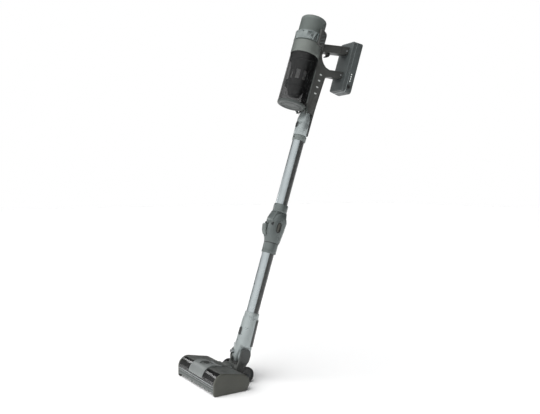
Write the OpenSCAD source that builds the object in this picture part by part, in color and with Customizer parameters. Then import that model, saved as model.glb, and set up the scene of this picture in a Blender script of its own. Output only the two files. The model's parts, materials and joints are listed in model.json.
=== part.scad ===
/* [Head] */
// Width of the cleaning head over its end caps
head_w = 252; // [250:1:256]
// Distance from the brush axis forward to the nose of the head
head_nose = 36; // [35:0.5:37]
// Height of the head at its end caps
head_h = 65; // [64:0.5:66]
// Radius of the rear wheels
wheel_r = 25; // [24:0.5:25]
// Distance of each rear wheel's centre from the middle of the head
wheel_x = 57; // [56:0.5:60]
// Radius of the brush over its bristles
bristle_r = 28.6; // [27:0.1:28.8]

/* [Wand] */
// Angle by which the wand leans back
lean = 18; // [16:1:20]
// Outer radius of the metal tubes
tube_r = 19.5; // [19:0.1:19.6]
// Wall thickness of the metal tubes
tube_wall = 1.4; // [1.2:0.1:1.6]
// Distance of the fold joint's axis along the wand
fold_s = 470; // [468:1:472]
// Distance of the wand's upper end along the wand
wand_end = 776; // [774:1:780]

/* [Hand unit] */
// Outer radius of the clear dust bin
bin_r = 49; // [48.5:0.1:49]
// Distance of the bin's axis in front of the wand's axis
bin_offset = 67.5; // [67.3:0.1:68]
// Distance of the bottom of the bin along the wand
bin_s = 868; // [866:1:870]
// Height of the clear part of the dust bin
bin_h = 172; // [170:1:174]
// Radius of the filter cap at the top
cap_r = 44.5; // [43:0.5:45]
// Width of the battery pack
battery_w = 71; // [68:1:72]
// Height of the battery pack
battery_h = 194; // [192:1:196]

/* [Hidden] */
$fn = 64;
hull_fn = 32;
air = 0.3;
run_fit = 0.05;

// Head: the brush axis and the places of the wheels and of the swivel
brush_y = -48;
brush_z = 30;
chamber_r = 30.5;
half_w = head_w / 2;
cap_t = 8;
cap_x = half_w - cap_t;
nose_r = 32;
nose_y = brush_y - head_nose + nose_r;
nose_z = head_h - nose_r;
tail_r = 25.5;
tail_y = 14;
tail_z = 26;
sole_z = 1.5;
sole_t = 3;
shell_z = sole_z + sole_t;
cavity_y = 27;
cover_w = 92;
wheel_y = 68;
wheel_t = 14;
arm_x = 40;
arm_t = 7;
swivel_z = 30;
barrel_r = 20;
duct_r = 15;
roller_end = 104;
belt_x = -104;
belt_w = 8;
motor_y = 12;
motor_z = 24;
motor_pulley_r = 6;
roller_pulley_r = 13;
sole_roller_x = 95;
sole_roller_y = -12;
sole_roller_r = 5;

// Neck: the wand's own frame starts at wand_y, wand_z and its height is called s
wand_y = 77.2;
wand_z = 57.6;
pitch_s = 14;
pitch_y = wand_y + pitch_s * sin(lean);
pitch_z = wand_z + pitch_s * cos(lean);
cheek_x = 22;
cheek_t = 8;
cheek_r = 20.5;
cheek_rise = 4.5;
neck_s = 45;
neck_top = 139.5;
neck_r = 29;
neck_r_top = 26.5;
neck_bore_r = 22;
hose_r = 11.5;
neck_button_s = 79;
neck_button_h = 27;

// Wand
tube_y = -2;
conduit_y = 12;
conduit_r = 9.5;
conduit_wrap = 0.9;
conduit_front = -7;
collar_r = 24.5;
lower_collar_top = 158.7;
fork_s = 360;
fork_body_s = 397;
knuckle_s = 501;
knuckle_top = 530;
fold_y = -3;
fork_r = 29;
fork_x = 19;
fork_half = 25.5;
fold_pin_r = 6;
fold_hose_r = 12.8;
lever_pivot_s = 420;
lever_pivot_y = -34;
upper_collar_s = 757;

// Hand unit
canister_y = -bin_offset;
lid_s = bin_s - 8;
lid_hinge_s = lid_s - 3;
lid_hinge_y = -18;
housing_s = bin_s + bin_h;
housing_r = 50;
band_s = housing_s + 46;
band_r = 51;
cap_s = band_s + 32;
cap_top = cap_s + 59;
frame_half_w = 20;
shoulder_r = 56.5;
shoulder_s = 1078;
shoulder_h = 70;
arm_half_w = 19;
plate_y = 95.5;
plate_t = 9;
battery_y = plate_y + plate_t + air;
battery_d = 35;
battery_s = 983;
battery_round = 9;
trigger_y = 11;
trigger_s = 1094;
cell_r = 9.1;
cell_h = 65;
charge_r = 2.8;
charge_depth = 10;

// Draws a profile of Y and Z as a slab between two places along X
module slab_x(x0, x1) {
  translate([x0, 0, 0]) rotate([90, 0, 90]) linear_extrude(height = x1 - x0) children();
}

// A round bar along Y
module bar_y(r, y0, y1, x = 0, z = 0) {
  translate([x, y0, z]) rotate([-90, 0, 0]) cylinder(h = y1 - y0, r = r);
}

// A round bar along X
module bar_x(r, x0, x1, y = 0, z = 0) {
  translate([x0, y, z]) rotate([0, 90, 0]) cylinder(h = x1 - x0, r = r);
}

// A round bar along Z, which is s inside the wand's frame
module bar_z(r, z0, z1, y = 0, x = 0) {
  translate([x, y, z0]) cylinder(h = z1 - z0, r = r);
}

// A flat rectangle with exact round corners
module round_rect(w, d, r) {
  square([w - 2 * r, d], center = true);
  square([w, d - 2 * r], center = true);
  for (x = [-1, 1], y = [-1, 1]) translate([x * (w / 2 - r), y * (d / 2 - r)]) circle(r);
}

// A box between two corners
module block(low, high) {
  translate(low) cube(high - low);
}

// Places children in the leaning frame of the wand
module wand() {
  translate([0, wand_y, wand_z]) rotate([-lean, 0, 0]) children();
}

// The outline of the head seen from its end, grown by g
module head_profile(g = 0) {
  hull() {
    translate([nose_y, nose_z]) circle(nose_r + g, $fn = 96);
    translate([tail_y, tail_z]) circle(tail_r + g, $fn = 96);
    translate([brush_y - head_nose + 6, 6]) circle(6 + g, $fn = 48);
  }
}

// A wedge of the brush chamber between two angles above the forward direction
module brush_wedge(a0, a1) {
  far = 120;
  steps = [for (i = [0:4]) a0 + (a1 - a0) * i / 4];
  translate([brush_y, brush_z])
    polygon(concat([[0, 0]], [for (a = steps) [-far * cos(a), far * sin(a)]]));
}

module head_interior() {
  difference() {
    intersection() {
      head_profile(-3);
      translate([-9, shell_z - 2]) square([cavity_y + 9, 70]);
    }
    translate([brush_y, brush_z]) circle(chamber_r + 2.5);
  }
}

module belt_outline(g) {
  hull() {
    translate([brush_y, brush_z]) circle(roller_pulley_r + g, $fn = 64);
    translate([motor_y, motor_z]) circle(motor_pulley_r + g, $fn = 48);
  }
}

// The head's main housing with the brush chamber, the swivel socket and the wheel arms
module head_shell() {
  color("dimgray") difference() {
    union() {
      slab_x(-cap_x, cap_x) difference() {
        head_profile();
        translate([-150, shell_z - 100]) square([300, 100]);
        translate([brush_y, brush_z]) circle(chamber_r);
        brush_wedge(-14, 72);
        translate([brush_y - 60, 0]) square([36, 24]);
      }
      bar_y(barrel_r + 4.5, cavity_y - 1, 42.5, z = swivel_z);
      bar_y(barrel_r + 7.5, cavity_y - 13, cavity_y + 4, z = swivel_z);
      for (s = [-1, 1]) slab_x(s * (arm_x + arm_t / 2) - arm_t / 2, s * (arm_x + arm_t / 2) + arm_t / 2)
        hull() {
          translate([wheel_y, wheel_r]) circle(9, $fn = hull_fn);
          translate([25, wheel_r]) circle(9, $fn = hull_fn);
        }
    }
    slab_x(-cap_x + 3, cap_x - 3) head_interior();
    bar_y(barrel_r + air, cavity_y - 2, 50, z = swivel_z);
    bar_y(barrel_r + 3.5, cavity_y - 9, cavity_y - 0.5, z = swivel_z);
    block([-50, 0, -10], [50, 100, shell_z]);
    bar_y(duct_r, brush_y, cavity_y, z = swivel_z);
    slab_x(belt_x - 1, belt_x + belt_w + 1) belt_outline(3);
    block([-cap_x - 1, brush_y - 25, -1], [cap_x + 1, brush_y + 24, 12]);
    for (s = [-1, 1]) {
      bar_x(3, s * 45 - 10, s * 45 + 10, wheel_y, wheel_r);
      block([s * sole_roller_x - 7, sole_roller_y - 7, 0], [s * sole_roller_x + 7, sole_roller_y + 7, 12]);
    }
  }
}

module sole_plate() {
  color("dimgray") difference() {
    translate([0, -21, sole_z]) linear_extrude(height = sole_t) round_rect(2 * cap_x - 2, 100, 6);
    block([-106, brush_y - 25, 0], [106, brush_y + 24, 10]);
    block([-120, -80, 0], [120, brush_y - 27, 10]);
    for (s = [-1, 1])
      block([s * sole_roller_x - 7, sole_roller_y - 5.6, 0],
            [s * sole_roller_x + 7, sole_roller_y + 5.6, 10]);
  }
}

module glide_strip() {
  color("firebrick") linear_extrude(height = sole_z) round_rect(150, 12, 4);
}

module end_cap(s) {
  inner = s > 0 ? cap_x : -half_w;
  boss = s > 0 ? roller_end + 1 : -cap_x;
  difference() {
    union() {
      slab_x(inner, inner + cap_t) difference() {
        head_profile();
        translate([-150, -100]) square([300, 100]);
      }
      bar_x(10, boss, boss + cap_x - roller_end - 1, brush_y, brush_z);
    }
    bar_x(7, boss - 1, boss + cap_x - roller_end, brush_y, brush_z);
  }
}

module end_cap_left() {
  color("darkslategray") end_cap(-1);
}

module end_cap_right() {
  color("darkslategray") end_cap(1);
}

module front_window() {
  color([0.25, 0.27, 0.28, 0.5]) slab_x(-cap_x, cap_x) difference() {
    intersection() {
      head_profile(-0.3);
      brush_wedge(-10, 72);
    }
    head_profile(-2.3);
  }
}

module front_bumper() {
  color("slategray") difference() {
    slab_x(-cap_x, cap_x) difference() {
      intersection() {
        head_profile();
        translate([brush_y - 60, 6]) square([30, 17.5]);
      }
      translate([brush_y, brush_z]) circle(chamber_r + 0.5);
    }
    block([-cap_x, brush_y - 25, 0], [cap_x, 0, 30]);
    for (i = [-4:4]) block([i * 25 - 9, -100, 0], [i * 25 + 9, 0, 10]);
  }
}

module centre_cover() {
  color("gray") difference() {
    slab_x(-cover_w / 2, cover_w / 2) difference() {
      intersection() {
        hull() {
          translate([nose_y, nose_z]) circle(nose_r + 6, $fn = 96);
          translate([8, 55]) circle(3, $fn = hull_fn);
        }
        brush_wedge(20, 155);
      }
      head_profile(0);
      translate([brush_y, brush_z]) circle(chamber_r + 1);
    }
    block([-17, -53, head_h + 4], [17, -31, head_h + 10]);
  }
}

module cover_slider() {
  color("black") difference() {
    translate([0, -44, head_h + 4.1]) linear_extrude(height = 1.8) round_rect(24, 12, 3);
    for (i = [-1:1]) translate([0, -44 + i * 3, head_h + 6.2]) cube([16, 1, 1.4], center = true);
  }
}

module brush_motor() {
  color("silver") {
    bar_x(12.5, -90, -30, motor_y, motor_z);
    bar_x(2.5, belt_x + belt_w + 1, -90, motor_y, motor_z);
  }
}

module motor_pulley() {
  color("goldenrod") difference() {
    bar_x(motor_pulley_r, belt_x, belt_x + belt_w, motor_y, motor_z);
    bar_x(2, belt_x - 1, belt_x + belt_w + 1, motor_y, motor_z);
  }
}

module roller_pulley() {
  color("goldenrod") difference() {
    bar_x(roller_pulley_r, belt_x, belt_x + belt_w, brush_y, brush_z);
    bar_x(3, belt_x - 1, belt_x + belt_w + 1, brush_y, brush_z);
  }
}

module drive_belt() {
  color("black") slab_x(belt_x + 1, belt_x + belt_w - 1) difference() {
    belt_outline(1.5);
    belt_outline(air);
  }
}

module brush_roller() {
  color("dimgray") {
    bar_x(19, belt_x + belt_w, roller_end, brush_y, brush_z);
    bar_x(3, -cap_x + 1, belt_x + belt_w, brush_y, brush_z);
    bar_x(3, roller_end, cap_x - 1, brush_y, brush_z);
  }
}

// Rows of bristles that wind round the roller
module brush_bristles() {
  length = roller_end - belt_x - belt_w - 4;
  color("black") difference() {
    translate([belt_x + belt_w + 2, brush_y, brush_z]) rotate([90, 0, 90])
      linear_extrude(height = length, twist = 120, slices = 24, $fn = 8)
        for (a = [0:60:300]) rotate(a) translate([18, -1.6]) square([bristle_r - 18, 3.2]);
    bar_x(19.05, -cap_x, cap_x, brush_y, brush_z);
  }
}

module roller_bearings() {
  color("silver") for (s = [-1, 1]) difference() {
    bar_x(7, s * 108 - 2.5, s * 108 + 2.5, brush_y, brush_z);
    bar_x(3 + run_fit, s * 108 - 3, s * 108 + 3, brush_y, brush_z);
  }
}

module rear_wheel(s) {
  x0 = s * wheel_x - wheel_t / 2;
  translate([x0, wheel_y, wheel_r]) rotate([0, 90, 0]) difference() {
    rotate_extrude() polygon([
      [0, 2], [9, 2], [11, 4], [wheel_r - 8, 4], [wheel_r - 6, 1], [wheel_r - 2, 0], [wheel_r, 2],
      [wheel_r, wheel_t - 2], [wheel_r - 2, wheel_t], [wheel_r - 6, wheel_t - 1],
      [wheel_r - 8, wheel_t - 4], [11, wheel_t - 4], [9, wheel_t - 2], [0, wheel_t - 2]
    ]);
    translate([0, 0, -1]) cylinder(h = wheel_t + 2, r = 3 + run_fit);
  }
}

module rear_wheel_left() {
  color("black") rear_wheel(-1);
}

module rear_wheel_right() {
  color("black") rear_wheel(1);
}

module wheel_axles() {
  color("silver") for (s = [-1, 1]) {
    bar_x(3, s * 51.5 - 13.5, s * 51.5 + 13.5, wheel_y, wheel_r);
    bar_x(4.5, s * 64.6 - 1.2, s * 64.6 + 1.2, wheel_y, wheel_r);
  }
}

module sole_roller(s) {
  bar_x(sole_roller_r, s * sole_roller_x - 5, s * sole_roller_x + 5, sole_roller_y, sole_roller_r);
}

module sole_roller_left() {
  color("dimgray") sole_roller(-1);
}

module sole_roller_right() {
  color("dimgray") sole_roller(1);
}

// The side outline of the yoke's cheeks, in Y and Z
module cheek_outline(g = 0) {
  for (t = [-cheek_rise, cheek_rise])
    translate([pitch_y + t * sin(lean), pitch_z + t * cos(lean)]) circle(cheek_r + g, $fn = hull_fn);
}

// Turns in the head's socket and carries the wand's pitch hinge
module swivel_yoke() {
  rise = atan2(pitch_z - swivel_z, pitch_y - 52);
  color("dimgray") difference() {
    union() {
      bar_y(barrel_r, cavity_y - 4, 50, z = swivel_z);
      hull() {
        bar_y(barrel_r, 46, 50, z = swivel_z, $fn = hull_fn);
        slab_x(-cheek_x - cheek_t, cheek_x + cheek_t)
          translate([58, swivel_z + 2]) circle(15, $fn = hull_fn);
      }
      for (s = [-1, 1]) {
        x0 = s > 0 ? cheek_x : -cheek_x - cheek_t;
        slab_x(x0, x0 + cheek_t) hull() {
          cheek_outline();
          translate([58, swivel_z + 2]) circle(15, $fn = hull_fn);
        }
      }
    }
    bar_y(hose_r + 1.5, 0, 52, z = swivel_z);
    translate([0, 52, swivel_z]) sphere(hose_r + 2);
    translate([0, 52, swivel_z]) rotate([rise - 90, 0, 0]) cylinder(h = 60, r = hose_r + 1.5);
    slab_x(-cheek_x, cheek_x) translate([pitch_y, pitch_z]) circle(cheek_r + 1.5);
    bar_x(5, -50, 50, pitch_y, pitch_z);
  }
}

// Holds the yoke's barrel in the head
module yoke_ring() {
  color("silver") difference() {
    bar_y(barrel_r + 3, cavity_y - 6.5, cavity_y - 4, z = swivel_z);
    bar_y(hose_r + 1.5, 0, 50, z = swivel_z);
  }
}

module pivot_covers() {
  color("darkslategray") for (s = [-1, 1]) {
    x0 = s > 0 ? cheek_x + cheek_t : -cheek_x - cheek_t - 1.8;
    slab_x(x0, x0 + 1.8) hull() cheek_outline(-0.8);
  }
}

module pitch_pins() {
  color("silver") for (s = [-1, 1]) {
    bar_x(5, s * 22 - 8, s * 22 + 8, pitch_y, pitch_z);
  }
}

// Air hose from the swivel through the yoke into the neck
module neck_hose() {
  rise = atan2(pitch_z - swivel_z, pitch_y - 52);
  run = norm([pitch_z - swivel_z, pitch_y - 52]);
  color("black") {
    bar_y(hose_r, 8, 52, z = swivel_z);
    translate([0, 52, swivel_z]) sphere(hose_r + 0.8);
    translate([0, 52, swivel_z]) rotate([rise - 90, 0, 0]) cylinder(h = run, r = hose_r);
    translate([0, pitch_y, pitch_z]) sphere(hose_r + 0.8);
    wand() bar_z(hose_r, pitch_s, 66);
  }
}

// Carries the wand on the pitch hinge
module neck_socket() {
  color("silver") wand() difference() {
    union() {
      bar_z(neck_r, neck_s, neck_s + 10);
      translate([0, 0, neck_s + 10])
        cylinder(h = neck_top - neck_s - 10, r1 = neck_r, r2 = neck_r_top);
      for (s = [-1, 1]) {
        x0 = s > 0 ? 13.5 : -cheek_x + air;
        slab_x(x0, x0 + cheek_x - air - 13.5) hull() {
          translate([0, pitch_s]) circle(19.5, $fn = hull_fn);
          translate([0, neck_s]) square([36, 4], center = true);
        }
      }
    }
    bar_z(hose_r + 1, -20, neck_top);
    bar_z(neck_bore_r, 66, neck_top + 1);
    bar_x(5 + run_fit, -40, 40, 0, pitch_s);
    block([-7.3, -40, neck_button_s - 0.3], [7.3, -24, neck_button_s + neck_button_h + 0.3]);
  }
}

module neck_button() {
  color("dimgray") wand() translate([0, -26, neck_button_s + neck_button_h / 2]) rotate([90, 0, 0])
    linear_extrude(height = 3.8) round_rect(14, neck_button_h, 6);
}

// Outline of the metal tube, and of the cable conduit that wraps its rear half
module tube_outline(g = 0) {
  translate([0, tube_y]) circle(tube_r + g);
}

module conduit_outline(g = 0) {
  translate([0, conduit_y]) circle(conduit_r + g);
  translate([0, conduit_y - 4]) square([2 * conduit_r + 2 * g, 8], center = true);
  intersection() {
    tube_outline(conduit_wrap + g);
    translate([-50, conduit_front - g]) square([100, 100]);
  }
}

module metal_tube(s0, s1) {
  translate([0, 0, s0]) linear_extrude(height = s1 - s0) difference() {
    tube_outline();
    tube_outline(-tube_wall);
  }
}

module conduit(s0, s1) {
  translate([0, 0, s0]) linear_extrude(height = s1 - s0) difference() {
    conduit_outline();
    tube_outline(0.02);
  }
}

// A collar round the tube and its conduit
module collar(r, s0, s1) {
  translate([0, 0, s0]) linear_extrude(height = s1 - s0) difference() {
    circle(r);
    tube_outline(0.02);
    conduit_outline(0.02);
  }
}

module lower_tube() {
  color("lightsteelblue") wand() metal_tube(70, 392);
}

module lower_conduit() {
  color("dimgray") wand() conduit(70, 392);
}

module lower_collar() {
  color("silver") wand() collar(collar_r, neck_top, lower_collar_top);
}

// Lower half of the fold joint: a fork on the lower tube
module joint_fork() {
  color("gray") wand() difference() {
    union() {
      bar_z(collar_r, fork_s, fork_body_s + 1);
      bar_z(fork_half, fork_body_s, fold_s - 22);
      for (s = [-1, 1]) {
        x0 = s > 0 ? fork_x : -fork_half;
        slab_x(x0, x0 + fork_half - fork_x) hull() {
          translate([fold_y, fold_s]) circle(fork_r, $fn = 96);
          translate([fold_y + 10, fold_s - 6]) circle(fork_r - 2, $fn = 96);
          translate([-1, fold_s - 52]) square([34, 4], center = true);
        }
      }
      slab_x(-12, 12) hull() {
        translate([-27, fold_s - 36]) circle(8, $fn = hull_fn);
        translate([-20, fold_s - 66]) circle(6, $fn = hull_fn);
      }
    }
    slab_x(-fork_x, fork_x) translate([fold_y, fold_s]) circle(fork_r + air);
    translate([0, 0, fork_s - 1]) linear_extrude(height = 393 - fork_s) {
      tube_outline(0.02);
      conduit_outline(0.02);
    }
    bar_z(fold_hose_r + 1, 390, fold_s);
    bar_x(fold_pin_r, -40, 40, fold_y, fold_s);
    block([-9.4, -60, lever_pivot_s - 9], [9.4, -29.6, 480]);
    bar_x(1.5 + run_fit, -11.5, 11.5, lever_pivot_y, lever_pivot_s);
  }
}

// Upper half of the fold joint, between the fork's cheeks
module joint_knuckle() {
  color("gray") wand() difference() {
    union() {
      slab_x(-fork_x + air, fork_x - air) hull() {
        translate([fold_y, fold_s]) circle(fork_r - 1, $fn = 96);
        translate([0, knuckle_s + 4]) square([40, 4], center = true);
      }
      bar_z(collar_r, knuckle_s, knuckle_top);
    }
    translate([0, 0, knuckle_s + 5]) linear_extrude(height = 40) {
      tube_outline(0.02);
      conduit_outline(0.02);
    }
    bar_z(fold_hose_r + 0.5, fold_s - 60, knuckle_top);
    bar_x(fold_pin_r + run_fit, -40, 40, fold_y, fold_s);
  }
}

module fold_pins() {
  color("silver") wand() for (s = [-1, 1])
    bar_x(fold_pin_r, s * 19.7 - 5.8, s * 19.7 + 5.8, fold_y, fold_s);
}

// Oval covers over the ends of the fold joint's pins
module joint_covers() {
  color("black") wand() for (s = [-1, 1]) {
    x0 = s > 0 ? fork_half : -fork_half - 1.6;
    slab_x(x0, x0 + 1.6) translate([fold_y, fold_s - 5]) {
      translate([0, 8]) circle(6);
      translate([0, -8]) circle(6);
      square([12, 16], center = true);
    }
  }
}

// Squeezed in at its top to unlock the fold
module joint_lever() {
  color("dimgray") wand() {
    slab_x(-9, 9) hull() {
      translate([lever_pivot_y, lever_pivot_s]) circle(4, $fn = hull_fn);
      translate([lever_pivot_y - 12, lever_pivot_s + 29]) circle(2.4, $fn = hull_fn);
      translate([lever_pivot_y - 10, lever_pivot_s + 12]) circle(2.4, $fn = hull_fn);
    }
    bar_x(1.5, -11, 11, lever_pivot_y, lever_pivot_s);
  }
}

// Ribbed air hose inside the fold joint
module joint_hose() {
  color("black") wand() difference() {
    union() {
      bar_z(fold_hose_r - 0.8, 394, knuckle_s + 3);
      for (s = [398:6:knuckle_s]) bar_z(fold_hose_r, s - 1.5, s + 1.5);
    }
    bar_z(fold_hose_r - 2, 393, knuckle_s + 4);
  }
}

module upper_tube() {
  color("lightsteelblue") wand() metal_tube(knuckle_s + 6, wand_end + 54);
}

module upper_conduit() {
  color("dimgray") wand() conduit(knuckle_s + 6, wand_end - 0.5);
}

module upper_collar() {
  color("lightsteelblue") wand() collar(23.5, upper_collar_s, wand_end);
}

// Socket for the wand, and the air pipe up into the frame
module inlet_pipe() {
  color("silver") wand() difference() {
    union() {
      bar_z(23, wand_end + 0.5, 838, tube_y + 1);
      translate([0, tube_y + 1, 838]) cylinder(h = 18, r1 = 23, r2 = 17);
      bar_z(17, 856, 935, tube_y + 1);
    }
    bar_z(tube_r + 0.02, wand_end, wand_end + 54, tube_y);
    bar_z(15, wand_end + 50, 932, tube_y + 1);
    block([-6.3, -40, 799.7], [6.3, -22, 820.3]);
  }
}

module wand_button() {
  color("darkslategray") wand() translate([0, -23.6, 810]) rotate([90, 0, 0])
    linear_extrude(height = 2) round_rect(12, 20, 5.5);
}

// Side outlines of the frame: the beam behind the bin, and the two arms to the battery
module beam_outline() {
  polygon([
    [13, wand_end], [19, wand_end], [19, 870], [23, 954], [26, 1004], [31, 1030], [17, 1035],
    [3, 1044], [-7, 1056], [-12, 1068], [-12, 1100], [-34, 1100], [-34, 864], [13, 864]
  ]);
}

module upper_arm_outline() {
  polygon([[-22, 1079], [58, 1107], [plate_y, 1120], [plate_y, 1148], [61, 1136], [-22, 1106]]);
}

module lower_arm_outline() {
  polygon([[18, 1003], [26, 1004], [58, 1019], [plate_y, 1029], [plate_y, 1053], [61, 1042], [30, 1029]]);
}

// A shell round the back of the motor housing, seen along s
module shoulder_outline() {
  intersection() {
    translate([0, canister_y]) circle(shoulder_r);
    translate([air / 6, canister_y + 15]) square([100, 100]);
  }
}

module frame_half() {
  difference() {
    union() {
      slab_x(air / 6, frame_half_w) beam_outline();
      slab_x(air / 6, arm_half_w) upper_arm_outline();
      slab_x(air / 6, arm_half_w - 2) lower_arm_outline();
      translate([0, 0, shoulder_s]) linear_extrude(height = shoulder_h) shoulder_outline();
    }
    bar_z(bin_r + 0.4, 850, housing_s, canister_y);
    bar_z(housing_r + 0.1, housing_s - 0.1, band_s, canister_y);
    bar_z(band_r + 0.1, band_s - 0.1, 1200, canister_y);
    bar_z(17.3, 856, 936, tube_y + 1);
    bar_z(23.3, 700, 838, tube_y + 1);
    translate([0, tube_y + 1, 838]) cylinder(h = 18.01, r1 = 23.3, r2 = 17.3);
    slab_x(-1, 9) polygon([[2, 1099], [20, 1103], [24, 1082], [2, 1078]]);
    slab_x(-1, 13) polygon([[26, 1104], [90, 1124], [90, 1138], [26, 1118]]);
    slab_x(-1, 14) polygon([[-12, 960], [12, 960], [14, 1000], [-12, 1040]]);
    bar_x(1.8 + run_fit, -1, 15, trigger_y, trigger_s);
  }
}

module frame_right() {
  color("dimgray") wand() frame_half();
}

module frame_left() {
  color("dimgray") wand() mirror([1, 0, 0]) frame_half();
}

module trigger() {
  color("black") wand() {
    bar_x(4, -8, 8, trigger_y, trigger_s);
    bar_x(1.8, -14, 14, trigger_y, trigger_s);
    slab_x(-8, 8)
      polygon([[8, 1095], [14, 1095], [15, 1084], [17, 1078], [13, 1074], [10, 1078], [8, 1084]]);
    bar_x(4, -8, 8, 15, 1077);
  }
}

module motor_housing() {
  color("gray") wand() difference() {
    bar_z(housing_r, housing_s, band_s, canister_y);
    bar_z(housing_r - 2.5, housing_s + 4, band_s + 1, canister_y);
    bar_z(29, housing_s - 1, housing_s + 5, canister_y);
  }
}

// Exhaust ring with a row of slanted vanes
module vane_ring() {
  count = 24;
  color("lightgray") wand() difference() {
    bar_z(band_r, band_s, cap_s, canister_y);
    bar_z(band_r - 4, band_s - 1, cap_s - 3, canister_y);
    bar_z(cap_r - 6, band_s - 1, cap_s + 1, canister_y);
    translate([0, canister_y, (band_s + cap_s) / 2]) for (i = [0:count - 1])
      rotate(i * 360 / count) translate([band_r, 0, -1]) rotate([25, 0, 0])
        cube([14, 2.6, 20], center = true);
  }
}

module motor_cap() {
  color("slategray") wand() difference() {
    translate([0, canister_y, cap_s + 0.2]) rotate_extrude() polygon([
      [0, cap_top - cap_s], [cap_r - 6, cap_top - cap_s], [cap_r - 2, cap_top - cap_s - 1.5],
      [cap_r, cap_top - cap_s - 5], [cap_r, 0], [0, 0]
    ]);
    bar_z(cap_r - 2.2, cap_s - 1, cap_top - 3, canister_y);
    for (s = [cap_s + 8:5:cap_top - 10]) translate([0, canister_y, s]) difference() {
      cylinder(h = 1.2, r = cap_r + 1);
      cylinder(h = 1.2, r = cap_r - 0.7);
    }
  }
}

module hepa_filter() {
  color("white") wand() difference() {
    bar_z(36, cap_s + 1, cap_top - 8, canister_y);
    bar_z(24, cap_s, cap_top - 12, canister_y);
  }
}

module suction_motor() {
  color("silver") wand() {
    bar_z(28, housing_s + 22, band_s + 18, canister_y);
    bar_z(47, housing_s + 24, housing_s + 28, canister_y);
  }
}

module impeller() {
  count = 9;
  color("gray") wand() translate([0, canister_y, housing_s + 7]) {
    cylinder(h = 2, r = 26);
    translate([0, 0, 2]) cylinder(h = 10, r1 = 11, r2 = 6);
    for (i = [0:count - 1]) rotate(i * 360 / count) translate([8, -0.6, 1.9]) cube([17, 1.2, 6]);
  }
}

module dust_bin() {
  color([0.2, 0.2, 0.2, 0.5]) wand() difference() {
    union() {
      bar_z(bin_r, bin_s, housing_s - 0.1, canister_y);
      for (s = [-1, 1]) slab_x(s * 28.4 - 2, s * 28.4 + 2) hull() {
        translate([lid_hinge_y, lid_hinge_s]) circle(3.6, $fn = hull_fn);
        translate([-27, bin_s + 10]) square([6, 6]);
      }
    }
    bar_z(bin_r - 2, bin_s - 1, housing_s + 1, canister_y);
    block([-9, -30, 885], [9, 0, 915]);
    bar_x(2 + run_fit, -50, 50, lid_hinge_y, lid_hinge_s);
  }
}

module bin_lid() {
  color("dimgray") wand() {
    difference() {
      bar_z(bin_r, lid_s, bin_s - 0.4, canister_y);
      bar_z(bin_r - 8, lid_s + 3, bin_s, canister_y);
      bar_z(18.2, lid_s - 1, bin_s + 1, tube_y + 1);
    }
    for (s = [-1, 1]) {
      slab_x(s * 24 - 2, s * 24 + 2) hull() {
        translate([lid_hinge_y, lid_hinge_s]) circle(3.6, $fn = hull_fn);
        translate([-29, lid_s]) square([2, 6]);
      }
      bar_x(2, s * 28.2 - 2.2, s * 28.2 + 2.2, lid_hinge_y, lid_hinge_s);
    }
  }
}

// Pushed down to let the lid fall open
module lid_slider() {
  angle = 44;
  color("gray") wand() translate([0, canister_y, 0]) rotate(angle)
    block([bin_r + 0.4, -4, bin_s + 14], [bin_r + 3.6, 4, bin_s + 134]);
}

// Shroud of the cyclone with its windows, skirt and lower cone
module cyclone_body() {
  windows = 8;
  color("darkslategray") wand() translate([0, canister_y, 0]) difference() {
    rotate_extrude() polygon([
      [30, 1038], [46.5, 1038], [46.5, 1024], [39, 1018], [35, 992], [34, 945], [40, 943],
      [40, 926], [31, 924], [20, 896], [17, 896], [17, 900], [26, 928], [30, 948]
    ]);
    for (i = [0:windows - 1]) rotate(i * 360 / windows) block([26, -8, 949], [40, 8, 984]);
  }
}

module mesh_screen() {
  color("lightgray") wand() translate([0, canister_y, 0]) difference() {
    translate([0, 0, 949]) cylinder(h = 86, r = 29.4);
    translate([0, 0, 948]) cylinder(h = 88, r = 28.4);
  }
}

module handle_plate() {
  color("dimgray") wand() difference() {
    translate([0, plate_y + plate_t, battery_s + battery_h / 2]) rotate([90, 0, 0])
      linear_extrude(height = plate_t) round_rect(battery_w, battery_h, battery_round);
    slab_x(-60, 60) polygon([[plate_y - 1, battery_s - 1], [plate_y + plate_t, battery_s - 1],
      [plate_y - 1, battery_s + 12]]);
  }
}

// Places the battery's outline of X and s as a slab along the wand's Y
module battery_slab(y0, y1, g = 0) {
  translate([0, y1, battery_s + battery_h / 2]) rotate([90, 0, 0])
    linear_extrude(height = y1 - y0)
      round_rect(battery_w + 2 * g, battery_h + 2 * g, battery_round + g);
}

module battery_pack() {
  color("darkslategray") wand() difference() {
    battery_slab(battery_y, battery_y + battery_d);
    block([-29.5, battery_y + 4, battery_s + 14], [29.5, battery_y + battery_d - 3, battery_s + 151]);
    bar_z(charge_r, battery_s - 1, battery_s + charge_depth, battery_y + 16, 16);
    bar_x(7.3, 30.5, 60, battery_y + 16, battery_s + 22);
  }
}

module battery_cells() {
  color("steelblue") wand() for (x = [-19, 0, 19], i = [0, 1])
    bar_z(cell_r, battery_s + 16 + i * (cell_h + 1), battery_s + 16 + i * (cell_h + 1) + cell_h,
      battery_y + 16.3, x);
}

module battery_button() {
  color("black") wand() bar_x(7, 32.6, battery_w / 2 + 1.2, battery_y + 16, battery_s + 22);
}

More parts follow.
